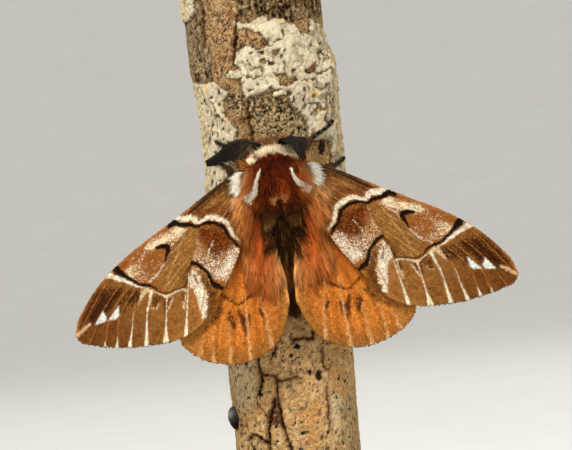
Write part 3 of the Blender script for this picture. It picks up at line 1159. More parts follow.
def combed(coat, rng, count, root_line, tip_line, shade, side=1, sink=0.35, rise=0.25, width=0.036,
           start=0.35, reach=(0.6, 0.8), wander=0.05, ragged=0.12, locks=26, hind=False, contrast=1.0,
           lower=0.0, before=0.0):
    """A tract of hair that lies over the back from a line of roots to a line of tips, given for one side.
    The hairs draw together into locks, each of its own tone. shade takes the share across the tract and
    the share along it and gives colours."""
    roots_along, tips_along = along(root_line, 60), along(tip_line, 60)
    across = rng.random(count)
    first = rng.random(count) * (start + before) - before
    lock = np.floor(across * locks + rng.normal(0, 0.22, count)).astype(np.int64)
    key = stacked(lock, np.floor(first * 5).astype(np.int64), 0 * lock + side)
    drawn = across + ((lock + 0.2 + 0.6 * lattice(key, 91)) / locks - across) * 0.75
    root = read_line(roots_along, across)
    stray = rng.normal(0, wander * 0.35, count)
    tip = read_line(tips_along, drawn + stray + wander * (lattice(key, 93) - 0.5))
    last = np.minimum(first + rng.uniform(*reach, count) * (0.85 + 0.3 * lattice(key, 95)),
                      1.0 + ragged * (lattice(key, 97) * 2 - 1) + rng.uniform(-0.4, 0.4, count) * ragged)
    layer = rng.random(count)
    sway = rng.normal(0, 0.045, count)
    paths, shades = [], []
    for t in STEPS[coat.rings]:
        onward = (first + (last - first) * t)[:, None]
        flat = root + (tip - root) * onward
        flat = flat + stacked(sway, -sway) * math.sin(2.6 * t)
        height = back_height(flat[:, 0], flat[:, 1], hind) - lower
        height = height + rise * (layer * 0.8 + 0.4 * math.sin(math.pi * t))
        height = height - sink * (1 - t) ** 2 * (0.4 + layer)
        height = height + 0.16 * (lattice(key, 99) - 0.5) * t
        paths.append(stacked(side * flat[:, 0], -height, flat[:, 1]))
        shades.append(shade(across, onward[:, 0]) * (0.55 + 0.5 * t))
    paths = np.stack(paths, axis=1)
    grain = 0.7 * (lattice(key, 101) - 0.5) + 0.35 * noise(paths[:, -1], 0.26, 105)
    tone = np.clip(1 + contrast * (rng.uniform(-0.4, 0.35, count) + grain), 0.25, 1.8)[:, None, None]
    add_over_back(coat, side, paths, np.full(count, width) * rng.uniform(0.8, 1.15, count),
                  np.stack(shades, axis=1) * tone)


def hair_line(coat, rng, count, line, widths, length, colour, side=1, rise=0.7, lean=1.0, turned=0.0):
    """Short hairs laid along a line over the back, as wide a band of them as widths says. lean below 1
    crowds them towards the line's end, and turned swings them forwards off the line."""
    fine = along(line, 60)
    share = rng.random(count) ** lean
    ahead = unit(read_line(fine, share + 0.04) - read_line(fine, share - 0.04))
    aside = stacked(ahead[:, 1], -ahead[:, 0])
    spread = np.interp(share, np.linspace(0, 1, len(widths)), widths) * rng.normal(0, 0.3, count)
    root = read_line(fine, share) + aside * spread[:, None]
    steps = STEPS[coat.rings]
    splay = rng.normal(0, 0.32, count)[:, None]
    way = ahead * math.cos(turned) - aside * math.sin(turned)
    across_way = stacked(way[:, 1], -way[:, 0])
    lengths = length * rng.uniform(0.6, 1.2, count)[:, None]
    paths = []
    for t in steps:
        flat = root + (way + across_way * splay) * lengths * (t - 0.5)
        height = back_height(flat[:, 0], flat[:, 1]) + rise - 0.3 * (1 - t) ** 2
        paths.append(stacked(side * flat[:, 0], -height, flat[:, 1]))
    tone = (rng.uniform(0.65, 1.15, count) * (1 + 0.35 * share))[:, None, None]
    tone = tone * np.linspace(0.7, 1.1, len(steps))[None, :, None]
    add_over_back(coat, side, np.stack(paths, axis=1), np.full(count, 0.03), paint(*colour) * tone)


def shade_line(*stops):
    """A colour for each share across a tract, read between stops of (share, colour)."""
    places = [place for place, _ in stops]
    colours = np.array([paint(*colour) for _, colour in stops])

    def read(across, onward):
        return np.stack([np.interp(across, places, colours[:, k]) for k in range(3)], axis=-1)

    return read


def blend_along(first, second, low=0.2, high=0.9):
    """A shade that turns from one into another along the tract."""

    def read(across, onward):
        share = smooth(low, high, onward)[:, None]
        return first(across, onward) * (1 - share) + second(across, onward) * share

    return read


def body_tracts(short, long, rng):
    """The tracts laid over the coat, each side like the other but of its own hairs."""
    cream = shade_line((0, (250, 232, 196)), (0.5, (242, 220, 182)), (1, (232, 206, 162)))
    straw = shade_line((0, (226, 192, 144)), (1, (196, 148, 96)))
    tegula = shade_line((0, (100, 36, 8)), (0.35, (122, 50, 16)), (0.6, (178, 108, 54)), (1, (228, 178, 120)))
    tan = shade_line((0, (186, 112, 54)), (1, (224, 170, 110)))
    white = shade_line((0, (252, 242, 222)), (1, (262, 254, 236)))
    fawn = shade_line((0, (226, 170, 112)), (0.3, (214, 148, 84)), (0.6, (194, 120, 58)), (1, (168, 90, 38)))
    rust = shade_line((0, (206, 128, 64)), (0.2, (214, 118, 54)), (0.4, (212, 102, 40)),
                      (0.6, (214, 106, 44)), (0.8, (224, 132, 66)), (1, (240, 160, 92)))
    orange = shade_line((0, (214, 140, 70)), (0.3, (210, 126, 60)), (0.5, (204, 112, 52)),
                        (0.75, (222, 138, 70)), (1, (240, 172, 104)))
    chestnut = shade_line((0, (98, 34, 10)), (0.5, (84, 28, 8)), (1, (136, 60, 20)))
    dark = shade_line((0, (54, 26, 10)), (1, (86, 46, 18)))
    olive = shade_line((0, (52, 32, 12)), (0.5, (98, 68, 31)), (1, (146, 112, 60)))
    brown = shade_line((0, (70, 34, 10)), (0.35, (166, 92, 32)), (0.7, (190, 122, 54)), (1, (206, 144, 76)))
    tail = shade_line((0, (70, 42, 18)), (1, (112, 74, 36)))
    for side in (-1, 1):
        combed(short, rng, 2000, ((0.0, 3.2), (1.3, 2.95), (2.9, 2.1)), ((0.0, 4.0), (1.7, 3.6), (3.4, 2.7)),
               blend_along(straw, cream, 0.0, 0.35), side, rise=0.4, start=0.5, reach=(0.3, 0.75), ragged=0.6,
               locks=60, wander=0.3, contrast=1.0, width=0.028)
        hair_line(short, rng, 900, ((0.0, 3.65), (1.0, 3.5), (2.1, 3.05), (3.2, 2.35)), (0.7, 0.7, 0.6, 0.4),
                  0.55, (250, 226, 186), side, 0.6, 1.0, 1.45)
        combed(short, rng, 3600, ((0.0, 1.0), (1.4, 0.9), (2.9, 0.5)), ((0.0, 3.35), (1.6, 3.0), (3.3, 2.15)),
               chestnut, side, rise=0.25, start=0.9, reach=(0.22, 0.4), ragged=0.3, locks=11, wander=0.3,
               contrast=1.7, sink=0.5, before=1.3)
        combed(short, rng, 4200, ((1.7, 1.7), (2.9, 2.0), (3.9, 1.1)),
               ((2.6, -1.6), (4.0, -3.2), (5.5, -2.6)), blend_along(tegula, tan, 0.45, 1.0), side, rise=0.45,
               start=0.75, reach=(0.2, 0.42), locks=12, ragged=0.25, wander=0.16, contrast=1.3)
        hair_line(short, rng, 760, CREAM_LINES[side], (0.06, 0.12, 0.24, 0.5, 0.9), 0.7, (275, 256, 222),
                  side, 1.02, 0.6)
        for count, roots, tips, rise in (
                (1400, ((3.7, 1.2), (4.0, 0.8), (4.1, 0.3)), ((5.1, 1.35), (5.9, 0.8), (5.9, 0.05)), 0.78),
                (1800, ((3.9, 0.3), (4.1, -0.3), (4.2, -1.0)), ((6.1, 0.1), (6.3, -0.9), (5.6, -2.0)), 0.68)):
            combed(short, rng, count, roots, tips, white, side, rise=rise, start=0.4, reach=(0.45, 0.75),
                   locks=9, ragged=0.3, contrast=0.3)
        combed(long, rng, 5200, ((3.8, 0.2), (3.6, -1.4), (3.0, -2.8)),
               ((6.6, -2.4), (6.3, -4.7), (5.5, -7.2), (4.7, -9.4)), fawn, side, rise=0.4, start=0.55,
               reach=(0.4, 0.65), ragged=0.35, locks=38)
        combed(long, rng, 8200, ((3.3, -2.2), (2.7, -3.6), (2.2, -4.9), (1.65, -6.2)),
               ((6.0, -10.6), (5.5, -12.6), (4.4, -14.2), (3.1, -14.8), (1.6, -14.6), (0.45, -13.4)),
               blend_along(rust, orange, 0.3, 0.85), side, rise=0.3, start=0.6, reach=(0.35, 0.55),
               wander=0.05, ragged=0.5, locks=60, hind=True, contrast=0.8)
        combed(short, rng, 2400, ((0.0, -5.4), (0.9, -5.6), (1.9, -5.8)),
               ((0.0, -13.8), (0.5, -13.8), (1.0, -13.0)), brown, side, rise=0.2, start=0.85,
               reach=(0.12, 0.26), locks=16, ragged=0.2, wander=0.2, contrast=1.4, lower=0.6, hind=True)
        combed(short, rng, 900, ((0.0, -13.6), (0.5, -13.6)), ((0.0, -18.4), (1.3, -17.6)), tail, side,
               rise=0.2, start=0.5, reach=(0.35, 0.6), locks=8, ragged=0.3, lower=1.9, hind=True)
        combed(short, rng, 2600, ((0.0, -2.2), (1.3, -2.4), (2.3, -2.1)),
               ((0.0, -4.8), (1.3, -6.5), (2.3, -6.8)), blend_along(dark, olive, 0.55, 1.05), side, rise=0.35,
               start=0.7, reach=(0.15, 0.36), locks=18, ragged=0.5, wander=0.3, contrast=1.7)
        spot_x, spot_z = CENTRE_SPOTS[0 if side < 0 else 1]
        spot = ((abs(spot_x) - 0.35, spot_z + 0.4), (abs(spot_x) + 0.35, spot_z - 0.25))
        hair_line(short, rng, 60, spot, (0.5, 0.8), 0.6, (220, 156, 98), side, 0.66)


# Head, legs and feelers

def tube(points, radii, sides):
    """Rings of points round a path, as one grid, with a point to close each end."""
    points = np.asarray(points)
    lies = unit(np.gradient(points, axis=0))
    up = np.cross(lies[0], (0.3, 0.5, 0.8))
    rings = []
    for point, lie, radius in zip(points, lies, radii):
        up = unit(up - lie * np.dot(up, lie))
        over = np.cross(lie, up)
        turns = np.arange(sides) * 2 * math.pi / sides
        rings.append(point + radius * (np.cos(turns)[:, None] * up + np.sin(turns)[:, None] * over))
    return np.concatenate([*rings, points[:1], points[-1:]]), tube_faces(len(points), sides)


def tube_faces(rows, sides):
    ring = np.arange(sides)
    onward = (ring + 1) % sides
    start, end = rows * sides, rows * sides + 1
    last = (rows - 1) * sides
    return [grid_faces(rows, sides, wrap=True), stacked(onward, ring, np.full(sides, start)),
            stacked(ring + last, onward + last, np.full(sides, end))]


def bark_radius(angle, height):
    """The branch's radius, at degrees round from the moth's side and a height above the hinge line."""
    share = (height + MOTH_Z - BRANCH_FOOT_Z) / BRANCH_LENGTH
    turn = np.radians(angle)
    radius = BRANCH_FOOT_RADIUS + (BRANCH_TOP_RADIUS - BRANCH_FOOT_RADIUS) * share
    radius = radius + 0.16 * np.cos(2 * turn + 0.9 + height * 0.03)
    radius = radius + 0.12 * np.cos(3 * turn - 0.4 - height * 0.05)
    radius = radius + 0.10 * np.cos(5 * turn + height * 0.11)
    for middle, level, half_width, half_height, thick in LICHENS:
        away = (angle - middle + 180) % 360 - 180
        reach = np.hypot(away / half_width, (height - level) / half_height)
        radius = radius + thick * smooth(1.15, 0.85, reach)
    away = np.radians((angle - KNOB_ANGLE + 180) % 360 - 180) * radius
    knob = np.hypot(away, height - KNOB_Z) / KNOB_SIZE
    return radius + KNOB_HEIGHT * np.sqrt(np.maximum(1 - knob ** 2, 0))


def on_bark(angle, height, lift=0.0):
    turn = np.radians(angle)
    radius = bark_radius(angle, height) + lift
    return stacked(radius * np.sin(turn), -radius * np.cos(turn), MOTH_Z + height * np.ones_like(turn))


def leg_path(name):
    root, knee, (start_turn, start_z), (end_turn, end_z) = LEGS[name]
    share = np.array([0.0, 0.25, 0.5, 0.75, 1.0])
    foot = to_moth(on_bark(start_turn + (end_turn - start_turn) * share,
                           start_z + (end_z - start_z) * share, GAP + TARSUS_RADIUS))
    root, knee, ankle = np.array(root), np.array(knee), foot[0]
    shin = [knee + (ankle - knee) * t for t in (0.12, 0.5, 0.85)]
    return [root, root + (knee - root) * 0.3, root + (knee - root) * 0.85, *shin, *foot]


def leg(name, finish, coat, seed):
    """A leg: hairy thigh and shin, and a foot of five joints banded black and tan, ending in two claws."""
    rng = np.random.default_rng(seed)
    path = leg_path(name)
    points = along(path, LEG_ROWS)
    run = np.linspace(0, 1, LEG_ROWS)
    lengths = distances(path)
    knee, ankle = (lengths[2] + lengths[3]) / 2 / lengths[-1], lengths[6] / lengths[-1]
    thigh = FEMUR_RADIUS * (0.75 + 0.25 * np.sin(math.pi * np.clip(run / knee, 0, 1)))
    shin = TIBIA_RADIUS * (0.62 + 0.3 * np.sin(math.pi * np.clip((run - knee) / (ankle - knee), 0, 1)))
    joints = (run - ankle) / (1 - ankle) * FOOT_JOINTS
    foot = TARSUS_RADIUS * (0.9 + 0.35 * smooth(0.2, 0.9, joints % 1.0))
    foot = foot * (1 - 0.2 * np.clip(joints / FOOT_JOINTS, 0, 1))
    radii = np.where(run < knee, thigh, np.where(run < ankle, shin, foot))
    radii[-1] *= 0.6
    body, faces = tube(points, radii * 0.9, LEG_SIDES)
    share = np.concatenate([np.repeat(run, LEG_SIDES), [0.0, 1.0]])
    tint = (92, 58, 32) if name.startswith("fore") else (66, 42, 25)
    fur = shade_line((0, tint), (0.4, tint), (1, (84, 56, 36)))

    def shades(share):
        bands = smooth(0.62, 0.8, ((share - ankle) / (1 - ankle) * FOOT_JOINTS) % 1.0)[:, None]
        banded = paint(26, 21, 16) * (1 - bands) + paint(92, 74, 52) * bands
        on_foot = smooth(ankle - 0.06, ankle, share)[:, None]
        return fur(share, share) * (1 - on_foot) + banded * on_foot

    at = rng.random(LEG_HAIRS) ** 0.8
    base = read_line(points, at)
    lies = unit(read_line(points, at + 0.02) - read_line(points, at - 0.02))
    side = unit(rng.normal(0, 1, (LEG_HAIRS, 3)))
    side = unit(side - lies * (side * lies).sum(axis=1, keepdims=True))
    thick = np.interp(at, run, radii) * 0.9
    long = np.where(at < ankle, 0.7, 0.22) * rng.uniform(0.6, 1.1, LEG_HAIRS)
    roots = base + side * (thick * 0.9)[:, None]
    tips = roots + lies * long[:, None] + side * (long * 0.3)[:, None] + rng.normal(0, 0.06, (LEG_HAIRS, 3))
    paths = coat.paths(roots, tips, side * 0.05, rng.normal(0, 0.04, (LEG_HAIRS, 3)))
    shade = shades(at) * rng.uniform(0.4, 1.5, LEG_HAIRS)[:, None]
    coat.add(paths, side, np.where(at < ankle, 0.034, 0.026),
             shade[:, None, :] * np.ones((1, paths.shape[1], 1)),
             stacked(at, rng.random(LEG_HAIRS)))
    return make_mesh(name + "_leg", to_world(body), faces, finish, shades(share) * 0.8)


def eye(side, finish):
    """A stretched ball with its pole to the front, fine enough to stay round."""
    rows, columns = 28, 40
    tilt = np.linspace(0, math.pi, rows + 2)[1:-1]
    turn = np.arange(columns) * 2 * math.pi / columns
    tilt, turn = (grid.ravel() for grid in np.meshgrid(tilt, turn, indexing="ij"))
    ball = stacked(np.sin(tilt) * np.cos(turn) * 0.85, np.sin(tilt) * np.sin(turn), np.cos(tilt))
    ball = np.concatenate([ball, [[0, 0, 1], [0, 0, -1]]]) * EYE_RADIUS
    points = ball + np.array((side * EYE_PLACE[0], *EYE_PLACE[1:]))
    word = "left" if side < 0 else "right"
    return make_mesh(f"eye_{word}_ball", to_world(points), tube_faces(rows, columns), finish)


class Growth(Bench):
    """A tree of geometry nodes with named inputs, used once and then left as a plain mesh."""

    def __init__(self, name):
        self.tree = bpy.data.node_groups.new(name, "GeometryNodeTree")
        self.tree.interface.new_socket(name="Geometry", in_out="INPUT", socket_type="NodeSocketGeometry")
        self.tree.interface.new_socket(name="Geometry", in_out="OUTPUT", socket_type="NodeSocketGeometry")
        self.start = self.add("NodeGroupInput")
        self.values = {}

    def ask(self, name, value, kind="NodeSocketFloat"):
        """A named input of the tree, and the value it is given."""
        socket = self.tree.interface.new_socket(name=name, in_out="INPUT", socket_type=kind)
        self.values[socket.identifier] = value
        return self.start.beside(name)

    def named(self, name, kind):
        return self.add("GeometryNodeInputNamedAttribute", {"data_type": kind}, {"Name": name})

    def drawn(self, low, high, seed):
        """A number from low to high, drawn for each point."""
        return self.add("FunctionNodeRandomValue", {"data_type": "FLOAT"}, {2: low, 3: high, "Seed": seed}, 1)

    def grow(self, geometry, obj, finish):
        """Realizes the instances, sets the finish, and puts the result in a plain mesh."""
        real = self.add("GeometryNodeRealizeInstances", None, {0: geometry})
        done = self.add("GeometryNodeSetMaterial", None, {"Geometry": real, "Material": finish})
        sink = self.tree.nodes.new("NodeGroupOutput")
        self.tree.links.new(done.socket, sink.inputs[0])
        modifier = obj.modifiers.new("growth", "NODES")
        modifier.node_group = self.tree
        for identifier, value in self.values.items():
            modifier[identifier] = value
        bpy.context.view_layer.update()
        depsgraph = bpy.context.evaluated_depsgraph_get()
        mesh = bpy.data.meshes.new_from_object(obj.evaluated_get(depsgraph))
        obj.modifiers.clear()
        obj.data = mesh
        return obj


# Each feeler's two rows of comb teeth: its side, how far it spreads, and its teeth's lengths read along it at
# COMB_PLACES. The left one's front row lies towards the eye, so it is the shorter one as seen from the back.
COMB_PLACES = (0, 0.15, 0.35, 0.6, 0.85, 1)
LEFT_COMB = ((-1, 1.1, (1.5, 2.6, 2.8, 1.9, 1.2, 0.7)), (1, 0.45, (0.3, 0.45, 0.55, 0.55, 0.45, 0.3)))
RIGHT_COMB = ((-1, 1.0, (1.0, 1.9, 2.0, 1.6, 1.0, 0.5)), (1, 1.0, (0.7, 1.8, 2.2, 1.1, 0.3, 0.2)))
SHAFT_ROWS = 60


def comb(name, points, is_left, finish):
    """A feeler's broad comb teeth, grown in two rows from points on it."""
    spine = along(points, COMB_TEETH)
    onward = unit(np.gradient(spine, axis=0))
    away = np.tile([0.0, -1.0, 0.0], (COMB_TEETH, 1)) if is_left else spine - np.array(ARCH_MIDDLE)
    sideways = unit(np.cross(onward, away))
    back = unit(np.cross(sideways, onward))
    share = np.linspace(0, 1, COMB_TEETH)
    lies, sizes = [], []
    for side, spread, lengths in LEFT_COMB if is_left else RIGHT_COMB:
        lies.append(unit(sideways * side * spread + onward * 0.55 - back * 0.25))
        sizes.append(np.interp(share, COMB_PLACES, lengths))
    mesh = bpy.data.meshes.new(name)
    mesh.from_pydata([tuple(p) for p in to_world(np.concatenate([spine, spine])) * MM], [], [])
    turned = np.array(MOTH_PLACE)[:3, :3].T
    mark_points(mesh, "lie", "FLOAT_VECTOR", np.concatenate(lies) @ turned)
    mark_points(mesh, "flat", "FLOAT_VECTOR", np.concatenate([back, back]) @ turned)
    mark_points(mesh, "size", "FLOAT", np.concatenate(sizes))
    obj = new_object(name, mesh)
    growth = Growth(name + "_teeth")
    thick = growth.ask("Tooth Radius", 0.14 * MM)
    length = growth.ask("Tooth Length", 1.0 * MM)
    flatness = growth.ask("Tooth Flatness", 0.35)
    seed = growth.ask("Seed", 5, "NodeSocketInt")
    tooth = growth.add("GeometryNodeMeshCone", {"fill_type": "NGON"},
                       {"Vertices": 6, "Side Segments": 3, "Radius Top": 0.05 * MM, "Radius Bottom": thick,
                        "Depth": length})
    upright = growth.add("FunctionNodeAlignRotationToVector", {"axis": "Z"},
                         {"Vector": growth.named("lie", "FLOAT_VECTOR")})
    turn = growth.add("FunctionNodeAlignRotationToVector", {"axis": "Y", "pivot_axis": "Z"},
                      {"Rotation": upright, "Vector": growth.named("flat", "FLOAT_VECTOR")})
    long = growth.named("size", "FLOAT") * growth.drawn(0.92, 1.06, seed)
    stretch = growth.add("ShaderNodeCombineXYZ", None, {0: 1.0, 1: flatness, 2: long})
    planted = growth.add("GeometryNodeInstanceOnPoints", None,
                         {"Points": growth.start, "Instance": tooth, "Rotation": turn, "Scale": stretch})
    growth.grow(planted, obj, finish)
    local = to_moth(np.array([vertex.co for vertex in obj.data.vertices]) / MM)
    inner = smooth(-5.5, -2.0, local[:, 0]) if is_left else smooth(1.2, 0.9, local[:, 0])
    sheen = (inner * smooth(-0.2, 0.5, noise(local, (0.3, 0.3, 0.15), 7)))[:, None]
    dark = paint(26, 22, 16) * (1 - 0.6 * sheen) + paint(104, 84, 56) * 0.6 * sheen
    dark = dark * (1 + 0.35 * noise(local, (0.3, 0.3, 0.3), 11))[:, None]
    mark_points(obj.data, "tint", "FLOAT_COLOR", np.concatenate([dark, np.ones((len(dark), 1))], axis=1))
    return obj


def shaft(name, points, finish):
    """A feeler's shaft, dusted with pale scales."""
    rings, faces = tube(along(points, SHAFT_ROWS), np.linspace(0.12, 0.08, SHAFT_ROWS), 8)
    shades = np.tile(paint(34, 33, 29), (len(rings), 1))
    return make_mesh(name, to_world(rings - [0, 0.06, 0]), faces, finish, shades)


# The perch and its stand

# Places on the bark: how far round from the moth's side towards +X, and how high above the hinge line, all
# turned together by MARKS_TURN.
MARKS_TURN = 0.5
LICHEN_SHEETS = (
    ((-1.9, 20.3), (-0.7, 19.7), (1.2, 20.5), (2.3, 20.0), (3.4, 20.0), (5.1, 19.2), (5.9, 18.1), (7.2, 17.7),
     (8.0, 19.9), (10.0, 19.2), (12.5, 17.9), (13.5, 15.2), (14.5, 12.6), (14.0, 7.9), (12.5, 3.4),
     (6.0, 4.7), (5.9, 7.1), (4.2, 8.6), (3.2, 10.5), (1.8, 10.3), (1.0, 11.3), (-0.6, 10.7), (-1.6, 10.6),
     (-2.3, 11.6), (-1.7, 12.6), (-3.9, 13.6), (-3.5, 14.2), (-1.9, 13.9), (-2.7, 14.9), (-2.5, 16.5),
     (-1.0, 16.9), (0.5, 16.2), (2.0, 16.7), (1.3, 18.2), (0.2, 19.0), (-2.0, 19.5)),
    ((-10.8, 13.2), (-7.6, 12.9), (-6.0, 13.0), (-4.1, 11.5), (-5.0, 10.3), (-5.2, 8.8), (-4.0, 7.8),
     (-3.3, 6.6), (-3.8, 4.8), (-4.8, 3.4), (-5.4, 1.0), (-7.0, -1.0), (-9.0, -2.4), (-14.5, -2.6),
     (-14.0, 7.5), (-12.5, 11.5)),
    ((12.5, 7.8), (14.5, 2.6), (13.5, -2.4), (11.5, -2.6), (9.3, 0.2), (8.9, 4.9), (11.3, 6.7)),
    ((-12.5, 26.5), (-7.3, 26.5), (-8.4, 22.0), (-9.1, 21.3), (-12.5, 21.3), (-14.0, 23.0)),
    ((20.0, 19.0), (26.5, 18.0), (26.5, 1.5), (21.0, 1.0), (17.5, 5.0), (18.5, 12.0)),
    ((-20.5, 15.0), (-17.5, 13.0), (-19.0, 6.0), (-26.5, 2.0), (-26.5, 18.0)),
    ((17.0, -16.0), (21.0, -19.0), (22.0, -27.0), (18.0, -25.0)),
)
LICHEN_GAPS = (
    ((1.8, 13.3), (2.8, 13.2), (4.7, 12.1), (4.1, 11.3), (2.6, 11.8)),
    ((6.0, 13.4), (7.7, 14.1), (7.7, 12.8), (6.2, 12.9)),
    ((5.6, 19.3), (6.9, 19.4), (6.6, 17.8), (5.7, 17.9)),
)
LICHEN_HOLES = ((2.5, 15.8, 0.42), (0.9, 14.9, 0.4), (-1.5, 15.0, 0.22), (-2.7, 11.9, 0.5), (1.5, 11.3, 0.3),
                (2.5, 11.0, 0.3), (9.2, 15.5, 0.3), (10.4, 9.5, 0.35), (7.6, 8.6, 0.25), (9.0, 11.3, 0.3),
                (-7.5, 9.0, 0.3), (-8.8, 5.4, 0.35), (-6.4, 6.3, 0.25))
LICHEN_SEAMS = (
    ((10.4, 13.4), (8.3, 13.0), (7.1, 12.1), (5.4, 11.9)),
    ((7.5, 12.9), (7.7, 11.7), (7.7, 10.9), (8.2, 10.7)),
    ((-0.8, 14.9), (-0.3, 14.2), (0.6, 14.1), (0.7, 13.4)), ((-3.3, 14.3), (-2.5, 14.1), (-1.9, 14.0)),
    ((-1.2, 13.1), (-0.4, 13.0), (0.5, 13.1)), ((3.4, 14.6), (3.2, 13.2), (3.7, 12.7)),
    ((6.5, 9.0), (7.6, 8.9), (8.4, 8.2)), ((6.8, 7.6), (7.7, 8.4), (8.4, 8.4)), ((2.2, 17.2), (3.2, 17.5)),
    ((8.2, 16.0), (9.4, 15.2), (10.0, 14.2)), ((-7.2, 11.0), (-6.4, 9.6), (-6.6, 8.4)),
)
DARK_CRUST = ((-4.5, 11.4), (-1.6, 10.8), (0.3, 10.7), (1.8, 10.3), (3.4, 9.5), (4.8, 7.7), (3.8, 6.8),
              (2.2, 7.5), (0.0, 7.2), (-1.8, 8.4), (-4.5, 9.3))
SPECKLED_CRUST = ((-1.1, 8.6), (3.9, 7.8), (5.7, 7.2), (5.9, 5.7), (5.2, 2.7), (0.3, 3.1), (-1.2, 6.4))
WARM_PLATES = (
    ((-6.7, 26.5), (-1.6, 26.5), (-1.8, 20.0), (-2.5, 16.2), (-4.5, 14.1), (-6.4, 13.0), (-6.3, 15.6),
     (-6.8, 18.0), (-6.8, 20.5)),
    ((-1.9, 19.7), (-0.3, 19.3), (1.4, 18.4), (2.0, 16.8), (0.5, 16.1), (-1.0, 16.9), (-2.4, 16.8)),
    ((-3.7, 8.6), (-1.9, 8.6), (-1.5, 6.4), (-0.9, 4.0), (-3.0, 4.2), (-4.8, 6.7)),
)
FIBROUS = ((-1.6, 26.5), (21.0, 26.5), (19.2, 24.6), (19.6, 22.8), (17.2, 21.6), (15.6, 22.2),
           (14.2, 20.0), (7.7, 20.1), (5.1, 19.3), (3.4, 20.1), (1.2, 20.7),
           (-0.7, 19.9), (-1.8, 21.0))
GREY_EDGE = ((-7.2, 26.5), (-6.8, 22.4), (-6.8, 20.5), (-6.4, 17.0), (-5.9, 13.0), (-11.0, 13.2),
             (-13.5, 26.5))
# Cracks: the line, and its width.
CRACKS = (
    (((-7.2, 24.8), (-6.8, 22.4), (-6.8, 20.5), (-7.0, 18.0)), 0.45),
    (((-1.7, 20.9), (-2.2, 18.8), (-2.6, 16.2), (-2.7, 14.9)), 0.3),
    (((-1.6, 10.0), (-1.7, 8.0), (-1.4, 6.4), (-1.1, 4.0)), 0.3),
    (((-3.1, 7.8), (-2.2, 7.8), (-0.9, 7.8)), 0.16),
    (((-3.8, -22.6), (-3.6, -24.3), (-3.6, -25.6), (-4.1, -26.9)), 0.4),
    (((-3.5, -24.4), (-2.6, -24.7), (-1.7, -24.9), (-1.4, -25.7), (-1.4, -27.4), (-1.3, -29.2), (-1.2, -31.1),
      (-0.8, -32.2), (-0.4, -34.3), (-0.5, -36.2)), 0.3),
    (((-1.4, -25.7), (0.3, -25.4), (1.8, -25.3)), 0.14),
    (((-1.2, -21.3), (-1.8, -22.8)), 0.22),
    (((1.2, -20.5), (2.5, -20.4), (3.8, -20.5), (4.2, -19.6)), 0.3),
    (((5.3, -27.2), (5.3, -29.5), (5.3, -32.0)), 0.14),
    (((-3.5, -36.3), (-3.3, -34.0), (-3.0, -30.9), (-1.9, -27.7)), 0.34),
    (((-6.9, -32.7), (-5.4, -32.2), (-3.8, -33.0), (-3.2, -33.4)), 0.3),
    (((4.9, -22.0), (5.1, -23.6), (5.6, -24.6), (6.6, -24.0)), 0.12),
    (((12.0, 2.0), (12.6, -6.0), (11.8, -14.0)), 0.3),
    (((-14.0, -8.0), (-13.2, -16.0), (-14.2, -27.0)), 0.35),
    (((19.0, -4.0), (17.6, -12.0), (18.4, -21.0)), 0.3),
    (((-21.0, -2.0), (-20.0, -14.0), (-21.4, -24.0)), 0.3),
    (((24.5, -8.0), (25.6, -20.0), (24.8, -34.0)), 0.35),
)
RED_WOOD = ((-3.2, -30.2), (-2.8, -29.0), (-1.9, -27.8), (-1.2, -29.0), (-1.1, -31.1), (-1.9, -30.9),
            (-3.0, -31.2))
OCHRE_ZONES = (
    ((1.0, -28.5), (4.2, -28.5), (4.5, -29.7), (3.5, -32.3), (2.6, -35.0), (1.4, -31.8), (0.7, -30.3)),
    ((5.8, -24.8), (9.9, -24.7), (9.3, -29.6), (7.8, -28.9)),
)
PALE_ZONES = (
    ((-8.2, -21.8), (-4.2, -22.1), (-4.4, -26.9), (-5.7, -28.8), (-9.5, -28.9), (-11.0, -24.0)),
    ((5.6, -27.2), (8.0, -28.5), (6.4, -32.9), (5.6, -31.8)),
)
KNOTS = ((4.3, -25.3, 0.55, 0.7), (3.0, -24.8, 0.3, 0.3), (0.7, -22.5, 0.22, 0.28), (-0.4, -23.0, 0.16, 0.16),
         (4.8, -32.7, 0.3, 0.25), (-2.5, -26.7, 0.16, 0.16), (7.9, 3.6, 0.5, 1.1), (8.6, 6.6, 0.9, 0.4))
# The branch's mean radius for places round it, its bed below the relief, and its sawn ends' share of it.
ROUND_RADIUS = 8.5
BARK_BED = 0.1
CUT_SHARE = 0.91
BRANCH_ROWS = 384
FRONT_COLUMNS, REAR_COLUMNS = 190, 60
FRONT_DEGREES = 100


